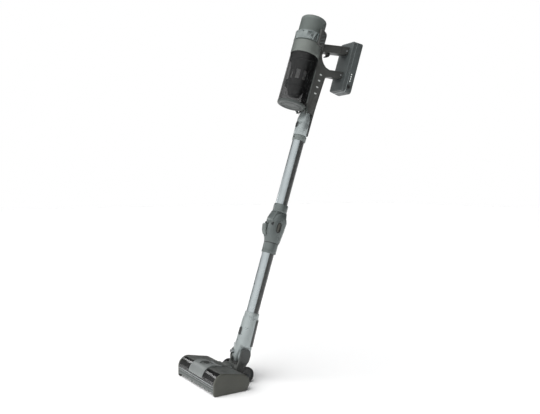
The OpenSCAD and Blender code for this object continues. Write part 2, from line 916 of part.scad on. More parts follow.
head_shell();
sole_plate();
glide_strip();
end_cap_left();
end_cap_right();
front_window();
front_bumper();
centre_cover();
cover_slider();
brush_motor();
motor_pulley();
roller_pulley();
drive_belt();
brush_roller();
brush_bristles();
roller_bearings();
rear_wheel_left();
rear_wheel_right();
wheel_axles();
sole_roller_left();
sole_roller_right();
swivel_yoke();
yoke_ring();
pivot_covers();
pitch_pins();
neck_hose();
neck_socket();
neck_button();
lower_tube();
lower_conduit();
lower_collar();
joint_fork();
joint_knuckle();
fold_pins();
joint_covers();
joint_lever();
joint_hose();
upper_tube();
upper_conduit();
upper_collar();
inlet_pipe();
wand_button();
frame_left();
frame_right();
trigger();
motor_housing();
vane_ring();
motor_cap();
hepa_filter();
suction_motor();
impeller();
dust_bin();
bin_lid();
lid_slider();
cyclone_body();
mesh_screen();
handle_plate();
battery_pack();
battery_cells();
battery_button();
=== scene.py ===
import json
import math

import bmesh
import bpy
from mathutils import Matrix, Vector, noise

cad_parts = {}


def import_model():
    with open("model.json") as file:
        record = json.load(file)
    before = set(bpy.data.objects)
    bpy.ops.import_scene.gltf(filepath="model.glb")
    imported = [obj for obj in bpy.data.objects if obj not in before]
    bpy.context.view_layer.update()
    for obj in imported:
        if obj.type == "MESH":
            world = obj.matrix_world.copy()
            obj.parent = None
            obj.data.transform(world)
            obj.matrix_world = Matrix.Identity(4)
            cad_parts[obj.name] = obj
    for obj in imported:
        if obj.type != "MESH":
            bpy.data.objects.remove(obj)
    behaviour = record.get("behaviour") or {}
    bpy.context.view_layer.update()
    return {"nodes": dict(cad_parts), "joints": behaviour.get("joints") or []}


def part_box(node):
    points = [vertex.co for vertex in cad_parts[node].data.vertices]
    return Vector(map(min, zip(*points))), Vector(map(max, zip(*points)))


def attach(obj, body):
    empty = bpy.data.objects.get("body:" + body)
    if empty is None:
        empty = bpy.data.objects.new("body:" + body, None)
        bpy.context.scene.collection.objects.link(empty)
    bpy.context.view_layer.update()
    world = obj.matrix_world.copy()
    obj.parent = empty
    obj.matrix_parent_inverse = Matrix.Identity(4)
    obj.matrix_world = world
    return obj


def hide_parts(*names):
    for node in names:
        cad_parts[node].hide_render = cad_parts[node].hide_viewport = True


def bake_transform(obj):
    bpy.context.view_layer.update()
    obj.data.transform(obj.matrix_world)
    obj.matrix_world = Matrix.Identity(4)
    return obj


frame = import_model()
nodes = frame["nodes"]
joints = {j["name"]: j for j in frame["joints"]}

# ---------------------------------------------------------------- frames of reference
# Lengths are in millimetres here and become metres through these two matrices.
MM = 0.001
HEAD = Matrix.Scale(MM, 4)
axis_up = -Vector(joints["lid_release"]["axis"]).normalized()
axis_rear = Vector(joints["neck_button_press"]["axis"]).normalized()
axis_x = Vector((1, 0, 0))
pitch_s = 14.0
wand_origin = Vector(joints["neck_pitch"]["pos_m"]) - pitch_s * MM * axis_up
WAND = Matrix.Identity(4)
for col, vec in enumerate((axis_x, axis_rear, axis_up)):
    for row in range(3):
        WAND[row][col] = vec[row] * MM
for row in range(3):
    WAND[row][3] = wand_origin[row]
TO_WAND = WAND.inverted()


def wand_box(node):
    """Lowest and highest x, y and s of a CAD node in the wand's frame, in millimetres."""
    pts = [TO_WAND @ v.co for v in nodes[node].data.vertices]
    return [min(p[i] for p in pts) for i in range(3)], [max(p[i] for p in pts) for i in range(3)]


def head_box(node):
    """Lowest and highest x, y and z of a CAD node, in millimetres."""
    lo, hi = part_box(node)
    return [c / MM for c in lo], [c / MM for c in hi]


# ---------------------------------------------------------------- materials
def srgb(code):
    """A colour code as linear red, green, blue and alpha."""
    out = []
    for i in (0, 2, 4):
        c = int(code[i:i + 2], 16) / 255
        out.append(c / 12.92 if c <= 0.04045 else ((c + 0.055) / 1.055) ** 2.4)
    return out + [1.0]


def shade(colour, k):
    """A colour made k times as light."""
    return [min(1.0, c * k) for c in colour[:3]] + [1.0]


class Nodes:
    """A material's node tree, with short ways to add and join its nodes."""

    def __init__(self, name):
        self.mat = bpy.data.materials.new(name)
        self.mat.use_nodes = True
        self.tree = self.mat.node_tree
        self.tree.nodes.clear()
        self.out = self.add("ShaderNodeOutputMaterial")
        self.bsdf = self.add("ShaderNodeBsdfPrincipled")
        self.link(self.bsdf, "BSDF", self.out, "Surface")
        self.coord = self.add("ShaderNodeTexCoord")

    def add(self, kind, **props):
        n = self.tree.nodes.new(kind)
        for k, v in props.items():
            setattr(n, k, v)
        return n

    def link(self, a, out, b, into):
        self.tree.links.new(a.outputs[out], b.inputs[into])

    def mapping(self, scale=(1, 1, 1), rotation=(0, 0, 0)):
        m = self.add("ShaderNodeMapping")
        m.inputs["Scale"].default_value = scale
        m.inputs["Rotation"].default_value = rotation
        self.link(self.coord, "Object", m, "Vector")
        return m

    def noise(self, scale, detail=3.0, rough=0.55, stretch=None, rotation=(0, 0, 0)):
        n = self.add("ShaderNodeTexNoise")
        n.inputs["Scale"].default_value = scale
        n.inputs["Detail"].default_value = detail
        n.inputs["Roughness"].default_value = rough
        if stretch:
            self.link(self.mapping(stretch, rotation), "Vector", n, "Vector")
        else:
            self.link(self.coord, "Object", n, "Vector")
        return n

    def ramp(self, source, out, stops):
        r = self.add("ShaderNodeValToRGB")
        el = r.color_ramp.elements
        while len(el) < len(stops):
            el.new(0.5)
        for e, (p, c) in zip(el, stops):
            e.position = p
            e.color = c
        self.link(source, out, r, "Fac")
        return r

    def spread(self, source, out, lo, hi, a, b):
        m = self.add("ShaderNodeMapRange")
        for key, v in (("From Min", lo), ("From Max", hi), ("To Min", a), ("To Max", b)):
            m.inputs[key].default_value = v
        self.link(source, out, m, "Value")
        return m

    def mix(self, kind, fac, a, b):
        m = self.add("ShaderNodeMix", data_type="RGBA", blend_type=kind)
        if isinstance(fac, (int, float)):
            m.inputs[0].default_value = fac
        else:
            self.tree.links.new(fac, m.inputs[0])
        for sock, value in ((m.inputs[6], a), (m.inputs[7], b)):
            if isinstance(value, (list, tuple)):
                sock.default_value = value
            else:
                self.tree.links.new(value, sock)
        return m.outputs[2]

    def colour(self, source):
        self.link(source, "Color", self.bsdf, "Base Color")

    def gloss(self, source, out, lo, hi, a, b):
        self.link(self.spread(source, out, lo, hi, a, b), "Result", self.bsdf, "Roughness")

    def set(self, **values):
        for k, v in values.items():
            self.bsdf.inputs[k.replace("_", " ")].default_value = v

    def bump(self, sources):
        """Chains bumps of (node, output, strength, distance in metres)."""
        last = None
        for n, out, strength, dist in sources:
            b = self.add("ShaderNodeBump")
            b.inputs["Strength"].default_value = strength
            b.inputs["Distance"].default_value = dist
            self.link(n, out, b, "Height")
            if last:
                self.link(last, "Normal", b, "Normal")
            last = b
        if last:
            self.link(last, "Normal", self.bsdf, "Normal")


def plastic(name, code, rough=0.42, grain=0.25, wear=0.35, vary=0.10, coat=0.0, grain_scale=1500):
    """Moulded plastic: spark-eroded grain, soft mottling, smudged gloss and rubbed edges."""
    m = Nodes(name)
    base = srgb(code)
    blotch = m.noise(14, 4, 0.6)
    tone = m.ramp(blotch, "Fac", [(0.30, shade(base, 1 - vary)), (0.70, shade(base, 1 + vary))])
    speck = m.noise(grain_scale, 2, 0.5)
    tone2 = m.mix("MULTIPLY", 0.35, tone.outputs["Color"],
                  m.ramp(speck, "Fac", [(0.35, (0.80, 0.80, 0.80, 1)),
                                        (0.65, (1.1, 1.1, 1.1, 1))]).outputs["Color"])
    geo = m.add("ShaderNodeNewGeometry")
    edge = m.ramp(geo, "Pointiness", [(0.52, (0, 0, 0, 1)), (0.60, (wear, wear, wear, 1))])
    rubbed = m.noise(90, 4, 0.7)
    patch = m.spread(rubbed, "Fac", 0.42, 0.62, 0.0, 1.0)
    both = m.add("ShaderNodeMath", operation="MULTIPLY")
    m.link(edge, "Color", both, 0)
    m.link(patch, "Result", both, 1)
    lighter = [min(1.0, c * 1.6 + 0.05) for c in base[:3]] + [1.0]
    m.tree.links.new(m.mix("MIX", both.outputs[0], tone2, lighter), m.bsdf.inputs["Base Color"])
    smudge = m.noise(38, 5, 0.65)
    m.gloss(smudge, "Fac", 0.3, 0.7, rough - 0.07, rough + 0.09)
    m.set(Coat_Weight=coat, Coat_Roughness=0.12, IOR=1.5)
    m.bump([(speck, "Fac", grain, 0.00010), (blotch, "Fac", 0.10, 0.0008)])
    return m.mat


def painted(name, code, rough=0.33, metallic=0.55, coat=0.35, flake=3200, lines=None, vary=0.07):
    """Silver paint on plastic: fine flake under a thin clear coat."""
    m = Nodes(name)
    base = srgb(code)
    blotch = m.noise(11, 3, 0.55)
    tone = m.ramp(blotch, "Fac", [(0.3, shade(base, 1 - vary)), (0.7, shade(base, 1 + vary))])
    spark = m.add("ShaderNodeTexVoronoi")
    spark.inputs["Scale"].default_value = flake
    m.link(m.coord, "Object", spark, "Vector")
    glint = m.ramp(spark, "Distance", [(0.0, (1.25, 1.25, 1.25, 1)), (0.5, (0.86, 0.86, 0.86, 1))])
    colour = m.mix("MULTIPLY", 0.4, tone.outputs["Color"], glint.outputs["Color"])
    m.tree.links.new(colour, m.bsdf.inputs["Base Color"])
    smudge = m.noise(30, 5, 0.6)
    m.gloss(smudge, "Fac", 0.3, 0.7, rough - 0.05, rough + 0.08)
    m.set(Metallic=metallic, Coat_Weight=coat, Coat_Roughness=0.10)
    bumps = [(spark, "Distance", 0.05, 0.00006)]
    if lines:
        fine = m.noise(lines[0], 2, 0.5, stretch=lines[1], rotation=lines[2])
        bumps.append((fine, "Fac", lines[3], 0.00012))
    m.bump(bumps)
    return m.mat


def metal(name, code, rough=0.28, along=(1, 1, 1), turn=(0, 0, 0), scale=900, strength=0.12, vary=0.06):
    """Brushed or drawn metal with streaks in one direction, light scuffs and finger marks."""
    m = Nodes(name)
    base = srgb(code)
    streak = m.noise(scale, 3, 0.6, stretch=along, rotation=turn)
    tone = m.ramp(streak, "Fac", [(0.3, shade(base, 1 - vary)), (0.7, shade(base, 1 + vary))])
    marks = m.noise(22, 5, 0.65)
    dull = m.ramp(marks, "Fac", [(0.46, (1, 1, 1, 1)), (0.72, (0.88, 0.89, 0.90, 1))])
    m.tree.links.new(m.mix("MULTIPLY", 0.8, tone.outputs["Color"], dull.outputs["Color"]),
                     m.bsdf.inputs["Base Color"])
    m.gloss(marks, "Fac", 0.3, 0.7, rough - 0.05, rough + 0.10)
    m.set(Metallic=1.0)
    m.bump([(streak, "Fac", strength, 0.00008)])
    return m.mat


def smoke(name, code, alpha, rough=0.05, coat=1.0, ior=1.49):
    """Tinted clear plastic with faint moulding ripples, dust and hairline scratches."""
    m = Nodes(name)
    base = srgb(code)
    dust = m.noise(55, 6, 0.7)
    haze = m.ramp(dust, "Fac", [(0.45, base), (0.75, shade(base, 1.9))])
    m.colour(haze)
    scratch = m.noise(420, 3, 0.6, stretch=(1, 1, 0.06))
    m.gloss(scratch, "Fac", 0.4, 0.75, rough, rough + 0.10)
    m.set(Alpha=alpha, IOR=ior, Coat_Weight=coat, Coat_Roughness=0.03)
    m.bump([(m.noise(26, 2, 0.5), "Fac", 0.05, 0.0006), (scratch, "Fac", 0.03, 0.00005)])
    return m.mat


def rubber(name, code, rough=0.62):
    """Matt rubber with a fine grain and patches of grime."""
    m = Nodes(name)
    base = srgb(code)
    grime = m.noise(60, 5, 0.7)
    tone = m.ramp(grime, "Fac", [(0.35, shade(base, 0.8)), (0.72, shade(base, 1.5))])
    m.colour(tone)
    fine = m.noise(900, 3, 0.6)
    m.gloss(grime, "Fac", 0.3, 0.7, rough - 0.08, rough + 0.12)
    m.set(Sheen_Weight=0.12, Sheen_Roughness=0.5)
    m.bump([(fine, "Fac", 0.3, 0.00018)])
    return m.mat


def pile(name, code, tip):
    """Short dense bristle seen from its side: strands that vary from root to tip."""
    m = Nodes(name)
    strand = m.noise(2600, 2, 0.7, stretch=(1, 0.12, 0.12))
    tone = m.ramp(strand, "Fac", [(0.35, srgb(code)), (0.68, srgb(tip))])
    m.colour(tone)
    m.gloss(strand, "Fac", 0.3, 0.7, 0.55, 0.85)
    m.set(Sheen_Weight=0.3, Sheen_Roughness=0.4)
    m.bump([(strand, "Fac", 0.8, 0.0004)])
    return m.mat


def felt(name, code, scale=700, lines=(1, 1, 1)):
    """Felt or pleated paper: fibres that run along lines."""
    m = Nodes(name)
    base = srgb(code)
    fibre = m.noise(scale, 5, 0.75, stretch=lines)
    tone = m.ramp(fibre, "Fac", [(0.3, shade(base, 0.75)), (0.7, shade(base, 1.2))])
    m.colour(tone)
    m.gloss(fibre, "Fac", 0.3, 0.7, 0.8, 0.95)
    m.set(Sheen_Weight=0.5, Sheen_Roughness=0.5)
    m.bump([(fibre, "Fac", 0.6, 0.0006)])
    return m.mat


def screen(name, code):
    """Woven steel screen: a fine grid of round holes."""
    m = Nodes(name)
    v = m.add("ShaderNodeTexVoronoi")
    v.inputs["Scale"].default_value = 620
    v.inputs["Randomness"].default_value = 0.0
    m.link(m.coord, "Object", v, "Vector")
    tone = m.ramp(v, "Distance", [(0.28, srgb("2b2b2b")), (0.42, srgb(code))])
    m.colour(tone)
    m.gloss(v, "Distance", 0.2, 0.6, 0.7, 0.35)
    m.set(Metallic=0.15)
    m.bump([(v, "Distance", 0.6, 0.0003)])
    return m.mat


def lamp(name, code, power):
    """A small light behind a diffusing window."""
    m = Nodes(name)
    n = m.noise(500, 2, 0.5)
    tone = m.ramp(n, "Fac", [(0.3, shade(srgb(code), 0.9)), (0.7, srgb(code))])
    m.colour(tone)
    m.link(tone, "Color", m.bsdf, "Emission Color")
    m.set(Emission_Strength=power, Roughness=0.4)
    return m.mat


ACROSS = (1.0, 1.0, 40.0)
LEAN = math.atan2(axis_up.y, axis_up.z)
MATS = {
    "dark": plastic("dark_moulded_plastic", "4a4c4a", 0.40),
    "olive": plastic("end_cap_plastic", "43443e", 0.46, grain=0.4),
    "frame": plastic("frame_plastic", "3f403e", 0.42),
    "battery": plastic("battery_plastic", "484d4d", 0.40, grain=0.35),
    "black": plastic("black_plastic", "1b1c1b", 0.30, wear=0.2),
    "charcoal": plastic("charcoal_plastic", "2f3130", 0.36),
    "mid": painted("mid_grey_paint", "6f7674", 0.40, 0.35, 0.15),
    "bumper": painted("bumper_grey_paint", "565b59", 0.42, 0.30, 0.10),
    "cheek": plastic("cheek_plastic", "414443", 0.36),
    "cover": painted("cover_grey_paint", "7c807f", 0.42, 0.30, 0.15),
    "joint": painted("joint_grey_paint", "636a69", 0.30, 0.45, 0.25),
    "silver": painted("silver_paint", "a3abab", 0.30, 0.60, 0.35),
    "housing": painted("housing_satin_paint", "757a76", 0.36, 0.50, 0.20,
                       lines=(700, ACROSS, (LEAN, 0, 0), 0.25)),
    "cap": painted("cap_satin_paint", "69706d", 0.42, 0.35, 0.15,
                   lines=(800, ACROSS, (LEAN, 0, 0), 0.30)),
    "vane": painted("vane_silver_paint", "98a09f", 0.20, 0.85, 0.50),
    "tube": metal("drawn_tube_metal", "c2cacc", 0.27, along=(1, 1, 0.03), turn=(LEAN, 0, 0), scale=1400),
    "gunmetal": metal("dark_steel", "3a3c3d", 0.34, scale=700),
    "steel": metal("turned_steel", "b9bcbd", 0.24, scale=700),
    "brass": metal("pulley_metal", "a79a74", 0.35, scale=700),
    "smoke": smoke("smoke_clear_plastic", "0c0d0d", 0.48, coat=0.5),
    "window": smoke("window_clear_plastic", "0c0d0d", 0.38, rough=0.03, ior=1.65),
    "rubber": rubber("wheel_rubber", "171717", 0.55),
    # Near-black for the spine's back strip: painted shade on the spine's rear edge
    "strip": rubber("spine_painted_shade", "1c1d1c", 0.50),
    "belt": rubber("belt_rubber", "151515", 0.6),
    "hose": rubber("hose_rubber", "202120", 0.5),
    "pile": pile("bristle_pile", "070707", "171818"),
    "glide": felt("glide_felt", "6e2a26"),
    "filter": felt("filter_pleats", "c9c8c0", 400, (1, 1, 0.1)),
    "cell": plastic("cell_wrap", "3f6f93", 0.3, grain=0.1),
    "inner": plastic("cyclone_plastic", "222424", 0.35),
    "lid": painted("lid_grey_paint", "434846", 0.44, 0.20, 0.10),
    "screen": screen("screen_metal", "f4f5f4"),
    "led": lamp("led_white", "dfe3e1", 0.35),
    "mark": plastic("pad_print", "c9cdcc", 0.45, wear=0.0),
}


# ---------------------------------------------------------------- mesh helpers
MERGE_MM = 0.002


def shade_smooth(mesh, angle):
    """Smooth shading with sharp edges where faces meet at more than angle degrees."""
    mesh.polygons.foreach_set("use_smooth", [True] * len(mesh.polygons))
    mesh.set_sharp_from_angle(angle=math.radians(angle))


def finish_mesh(name, bm, place, angle=38):
    """Turns a bmesh in millimetres into a smooth-shaded object in metres."""
    bmesh.ops.remove_doubles(bm, verts=bm.verts, dist=MERGE_MM)
    bmesh.ops.transform(bm, matrix=place, verts=bm.verts)
    bmesh.ops.recalc_face_normals(bm, faces=bm.faces)
    mesh = bpy.data.meshes.new(name)
    bm.to_mesh(mesh)
    bm.free()
    shade_smooth(mesh, angle)
    ob = bpy.data.objects.new(name, mesh)
    bpy.context.scene.collection.objects.link(ob)
    return ob


def bake(ob, angle=38):
    """Replaces an object's mesh with what its modifiers make of it."""
    bpy.context.view_layer.update()
    deps = bpy.context.evaluated_depsgraph_get()
    mesh = bpy.data.meshes.new_from_object(ob.evaluated_get(deps))
    ob.modifiers.clear()
    ob.data = mesh
    shade_smooth(mesh, angle)
    return ob


def soften(ob, width, segments=3, angle=30):
    """Rounds the edges that are sharper than angle degrees."""
    b = ob.modifiers.new("soften", "BEVEL")
    b.width = width * MM
    b.segments = segments
    b.limit_method = "ANGLE"
    b.angle_limit = math.radians(angle)
    b.harden_normals = False
    return ob


def carve(ob, tools):
    """Cuts other closed shapes out of an object, and removes them."""
    for t in tools:
        c = ob.modifiers.new("carve", "BOOLEAN")
        c.operation = "DIFFERENCE"
        c.solver = "EXACT"
        c.object = t
    bake(ob)
    for t in tools:
        bpy.data.objects.remove(t)
    return ob


def fuse(ob, voxel, rounds=4, angle=60):
    """Melts overlapping closed shapes of one object into one skin with soft inner corners."""
    r = ob.modifiers.new("fuse", "REMESH")
    r.mode = "VOXEL"
    r.voxel_size = voxel * MM
    r.use_smooth_shade = True
    s = ob.modifiers.new("relax", "SMOOTH")
    s.factor = 0.5
    s.iterations = rounds
    return bake(ob, angle)


def piece(ob, mat, body, replaces=()):
    """Gives an object its material and its body, and hides the CAD parts it replaces."""
    ob.data.materials.clear()
    ob.data.materials.append(MATS[mat])
    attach(ob, body)
    if replaces:
        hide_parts(*replaces)
    return ob


def rounded(points, default=2.0, seg=6):
    """A closed polygon with its corners rounded. A point is (a, b) or (a, b, radius)."""
    out = []
    n = len(points)
    for i in range(n):
        p = Vector(points[i][:2])
        r = points[i][2] if len(points[i]) > 2 else default
        a = Vector(points[i - 1][:2]) - p
        b = Vector(points[(i + 1) % n][:2]) - p
        la, lb = a.length, b.length
        a, b = a / la, b / lb
        half = math.acos(max(-1, min(1, a.dot(b)))) / 2
        if r <= 0 or half > math.radians(88):
            out.append(p)
            continue
        cut = min(r / math.tan(half), la * 0.48, lb * 0.48)
        r = cut * math.tan(half)
        mid = (a + b).normalized()
        centre = p + mid * (r / math.sin(half))
        start, end = p + a * cut - centre, p + b * cut - centre
        t0 = math.atan2(start.y, start.x)
        d = math.atan2(end.y, end.x) - t0
        while d > math.pi:
            d -= 2 * math.pi
        while d < -math.pi:
            d += 2 * math.pi
        for k in range(seg + 1):
            t = t0 + d * k / seg
            out.append(centre + Vector((math.cos(t), math.sin(t))) * r)
    return out


def level(points, h, axis="z"):
    """Flat points at height h along x, y or z. A point's two numbers are the other two axes."""
    return [{"x": (h, p[0], p[1]), "y": (p[0], h, p[1]), "z": (p[0], p[1], h)}[axis] for p in points]


def prism(bm, outline, lo, hi, axis="x"):
    """A closed outline pushed from lo to hi along x, y or z."""
    return loft(bm, [level(outline, lo, axis), level(outline, hi, axis)])


def loft(bm, rings, cap=True):
    """Skins a row of rings that have the same number of points."""
    made = [[bm.verts.new(p) for p in ring] for ring in rings]
    n = len(made[0])
    for a, b in zip(made, made[1:]):
        for i in range(n):
            bm.faces.new((a[i], a[(i + 1) % n], b[(i + 1) % n], b[i]))
    if cap:
        bm.faces.new(made[0][::-1])
        bm.faces.new(made[-1])
    return bm


def lathe(bm, profile, centre=(0, 0), n=96, axis="z", closed=True):
    """Turns a profile of (radius, height) round an axis along x, y or z."""
    made = []
    for r, h in profile:
        ring = []
        for i in range(n):
            t = 2 * math.pi * i / n
            u, v = r * math.cos(t), r * math.sin(t)
            p = {"z": (centre[0] + u, centre[1] + v, h), "x": (h, centre[0] + u, centre[1] + v),
                 "y": (centre[0] + u, h, centre[1] + v)}[axis]
            if r < 1e-6:
                ring = [bm.verts.new(p)] * n
                break
            ring.append(bm.verts.new(p))
        made.append(ring)
    for a, b in zip(made, made[1:] + ([made[0]] if closed else [])):
        for i in range(n):
            quad = [a[i], a[(i + 1) % n], b[(i + 1) % n], b[i]]
            quad = [q for k, q in enumerate(quad) if q not in quad[:k]]
            if len(quad) > 2:
                bm.faces.new(quad)
    return bm


def arc(cx, cy, r, a0, a1, n=8):
    """Points of an arc in degrees."""
    return [(cx + r * math.cos(math.radians(a0 + (a1 - a0) * i / n)),
             cy + r * math.sin(math.radians(a0 + (a1 - a0) * i / n))) for i in range(n + 1)]


def oval(cx, cy, rx, ry, e=2.0, n=64):
    """Points of a superellipse."""
    out = []
    for i in range(n):
        t = 2 * math.pi * i / n
        c, s = math.cos(t), math.sin(t)
        out.append((cx + rx * math.copysign(abs(c) ** (2 / e), c),
                    cy + ry * math.copysign(abs(s) ** (2 / e), s)))
    return out


def new():
    return bmesh.new()


def bar(bm, r, a, b, n=32, at=(0, 0), axis="x", edge=0.0):
    """A round bar with softened ends."""
    if edge:
        prof = [(0, a), (r - edge, a), (r, a + edge), (r, b - edge), (r - edge, b), (0, b)]
    else:
        prof = box2d(0, a, r, b)
    return lathe(bm, prof, at, n, axis, closed=False)


def screw(name, at, normal, r, body, place=WAND, mat="steel"):
    """A small cross-head screw with a domed head, facing along normal."""
    bm = new()
    prof = [(0, -0.6), (r, -0.6), (r, 0.1), (r * 0.9, 0.45), (r * 0.55, 0.75), (0, 0.85)]
    lathe(bm, prof, (0, 0), 28, "z", closed=False)
    ob = finish_mesh(name, bm, Matrix.Scale(MM, 4))
    cuts = []
    for turn in (0, 90):
        c = new()
        prism(c, box2d(-r * 0.6, -r * 0.13, r * 0.6, r * 0.13), 0.25, 2)
        cuts.append(finish_mesh(name + "_cut", c, Matrix.Scale(MM, 4) @ Matrix.Rotation(math.radians(turn), 4,
                                                                                        "Z")
                                @ Matrix.Rotation(math.radians(-90), 4, "Y")))
    carve(ob, cuts)
    n = Vector(normal).normalized()
    z = (place.to_3x3() @ n).normalized()
    turn = z.to_track_quat("Z", "Y").to_matrix().to_4x4()
    ob.data.transform(Matrix.Translation(place @ Vector(at)) @ turn)
    return piece(ob, mat, body)


def hull2d(points):
    """Outline round a set of flat points."""
    pts = sorted(set((round(p[0], 4), round(p[1], 4)) for p in points))
    def half(seq):
        out = []
        for p in seq:
            while len(out) > 1 and ((out[-1][0] - out[-2][0]) * (p[1] - out[-2][1])
                                    - (out[-1][1] - out[-2][1]) * (p[0] - out[-2][0])) <= 0:
                out.pop()
            out.append(p)
        return out[:-1]
    return half(pts) + half(pts[::-1])


def circle(cx, cy, r, n=48):
    return oval(cx, cy, r, r, 2.0, n)


def box2d(a0, b0, a1, b1, *radius):
    """The corners of an upright rectangle, each with a radius where one is given."""
    return [(a, b, *radius) for a, b in ((a0, b0), (a1, b0), (a1, b1), (a0, b1))]


def span(sign, a, b):
    """The two ends of a stretch on the left (-1) or right (1) side, in rising order."""
    return sorted((sign * a, sign * b))


def side_tag(sign):
    return "right" if sign > 0 else "left"


def add(name, bm, mat, body, replaced=(), place=None, angle=30):
    """Finishes a bmesh as a piece."""
    return piece(finish_mesh(name, bm, WAND if place is None else place, angle), mat, body, replaced)


# ---------------------------------------------------------------- canister: cap, vanes, housing, bin
h_lo, h_hi = wand_box("motor_housing")
v_lo, v_hi = wand_box("vane_ring")
c_hi = wand_box("motor_cap")[1]
CY = (h_lo[1] + h_hi[1]) / 2
CAN = (0, CY)
SLIDER_TURN = math.radians(44)
BIN_R = wand_box("cyclone_body")[1][0] + 2.5
S0, S1, S2, S3 = h_lo[2], v_lo[2], v_hi[2], c_hi[2]
LID_TOP = wand_box("bin_lid")[1][2]
LID = LID_TOP - 7.6



def turned(u, v, a, at=CAN):
    """A point u out from the middle and v across, turned by a radians round it."""
    return at[0] + u * math.cos(a) - v * math.sin(a), at[1] + u * math.sin(a) + v * math.cos(a)


cap_r = c_hi[0]
CAP_GROOVES, CAP_STEP = 11, 3.8
prof = [(0, S2 + 0.2), (cap_r - 1.6, S2 + 0.2), (cap_r - 0.6, S2 + 0.7), (cap_r - 0.1, S2 + 2.0)]
for i in range(CAP_GROOVES):
    s = S2 + 6 + i * CAP_STEP
    prof += [(cap_r, s), (cap_r - 0.1, s + 0.25), (cap_r - 0.95, s + 0.45), (cap_r - 0.95, s + 1.05),
             (cap_r - 0.1, s + 1.25), (cap_r, s + 1.5)]
prof += arc(cap_r - 5.5, S3 - 5.5, 5.5, 0, 84, 8)
prof += [(34.5, S3 - 0.05), (33.9, S3 - 0.5), (33.5, S3 - 0.9), (32.6, S3 - 0.9), (32.2, S3 - 0.4),
         (31.6, S3 - 0.1)]
prof += [(22, S3 - 0.5), (10, S3 - 0.8), (0, S3 - 0.9)]
cap = finish_mesh("motor_cap_skin", lathe(new(), prof, CAN, 128, closed=False), WAND, 30)
piece(cap, "cap", "motor_cap", ["motor_cap"])
bm = new()
for i in range(2):
    a = math.radians(90 + 180 * i)
    ring = [(CAN[0] + 26 * math.cos(a) + p[0], CAN[1] + 26 * math.sin(a) + p[1]) for p in oval(0, 0, 1.6, 4.0,
                                                                                               2, 20)]
    loft(bm, [level(ring, S3 - 1.2), level(ring, S3 - 0.25)])
add("cap_grip_marks", bm, "charcoal", "motor_cap", angle=38)

prof = [(BIN_R - 4, S0 + 0.3), (BIN_R - 0.4, S0 + 0.3), (h_hi[0] - 0.4, S0 + 1.0), (h_hi[0], S0 + 2.4),
        (h_hi[0], S0 + 14.0), (h_hi[0] - 0.35, S0 + 14.4), (h_hi[0] - 0.35, S0 + 15.0), (h_hi[0], S0 + 15.4),
        (h_hi[0], S1 - 5.0), (h_hi[0] - 0.4, S1 - 3.0), (h_hi[0] - 1.3, S1 - 1.4), (h_hi[0] - 2.4, S1 - 0.6),
        (40, S1 - 0.6), (40, S0 + 4), (BIN_R - 4, S0 + 4)]
add("motor_housing_skin", lathe(new(), prof, CAN, 128), "housing", "hand_unit", ["motor_housing"])

# Twisted vanes: every second one is deep at its foot, the others at their head
bm = new()
count, top, foot = 22, S2 - 2.8, S1 + 2.6
levels = 5
rings = []
for k in range(levels + 1):
    f = k / levels
    ring = []
    for i in range(count):
        a = 2 * math.pi * (i + 0.42 * f) / count
        step = 2 * math.pi / count
        deep = 5.4 * (f if i % 2 else 1 - f) + 0.7
        for frac, r in ((0.0, v_hi[0] - 0.5), (0.72, v_hi[0] - 0.5 - deep),
                        (0.94, v_hi[0] - 0.5 - deep * 0.7)):
            t = a + frac * step
            ring.append((CAN[0] + r * math.cos(t), CAN[1] + r * math.sin(t), foot + (top - foot) * f))
    rings.append(ring)
inner = [[(CAN[0] + 42 * math.cos(2 * math.pi * i / (3 * count)),
           CAN[1] + 42 * math.sin(2 * math.pi * i / (3 * count)), z)
          for i in range(3 * count)] for z in (foot, top)]
loft(bm, rings + [inner[1], inner[0], rings[0]], cap=False)
vanes = finish_mesh("vane_ring_blades", bm, WAND, 12)
piece(vanes, "vane", "hand_unit", ["vane_ring"])
for name, lo, hi, mat in (("vane_ring_foot", S1 - 0.1, S1 + 3.0, "mid"),
                          ("vane_ring_head", S2 - 3.2, S2 - 0.2, "vane")):
    prof = [(40, lo), (v_hi[0] - 1.2, lo), (v_hi[0] - 0.2, lo + 0.6), (v_hi[0], lo + 1.2),
            (v_hi[0], hi - 1.2),
            (v_hi[0] - 0.4, hi - 0.4), (v_hi[0] - 1.4, hi), (40, hi)]
    add(name, lathe(new(), prof, CAN, 128), mat, "hand_unit", angle=32)

# Clear bin, its hinge lugs, the lid and the ring at its top
prof = [(BIN_R, LID_TOP + 0.6), (BIN_R, LID_TOP + 3.6), (BIN_R - 0.5, LID_TOP + 4.6),
        (BIN_R - 0.25, S0 - 8.0),
        (BIN_R, S0 - 7.0), (BIN_R, S0 - 0.4), (BIN_R - 2, S0 - 0.4), (BIN_R - 2, LID_TOP + 0.6)]
shell = finish_mesh("dust_bin_shell", lathe(new(), prof, CAN, 128), WAND, 30)
piece(shell, "smoke", "hand_unit", ["dust_bin"])
hinge = TO_WAND @ Vector(joints["lid_hinge"]["pos_m"])
bm = new()
for s in (-1, 1):
    lug = hull2d(circle(hinge.y, hinge.z, 2.9, 24) + [(-26, LID_TOP + 8), (-21, LID_TOP + 8),
                                                      (-26, LID_TOP + 11)])
    prism(bm, lug, s * 28.4 - 1.9, s * 28.4 + 1.9)
piece(soften(finish_mesh("bin_hinge_lugs", bm, WAND), 0.5, 2), "lid", "hand_unit")
# Black ring inside the bin's top: painted shadow under the motor housing
prof = [(BIN_R - 2.1, S0 - 22), (BIN_R - 2.1, S0 - 1.5), (BIN_R - 4, S0 - 1.5), (BIN_R - 5, S0 - 14),
        (BIN_R - 9, S0 - 20), (BIN_R - 6, S0 - 22)]
add("bin_top_shadow_ring", lathe(new(), prof, CAN, 96), "black", "hand_unit")
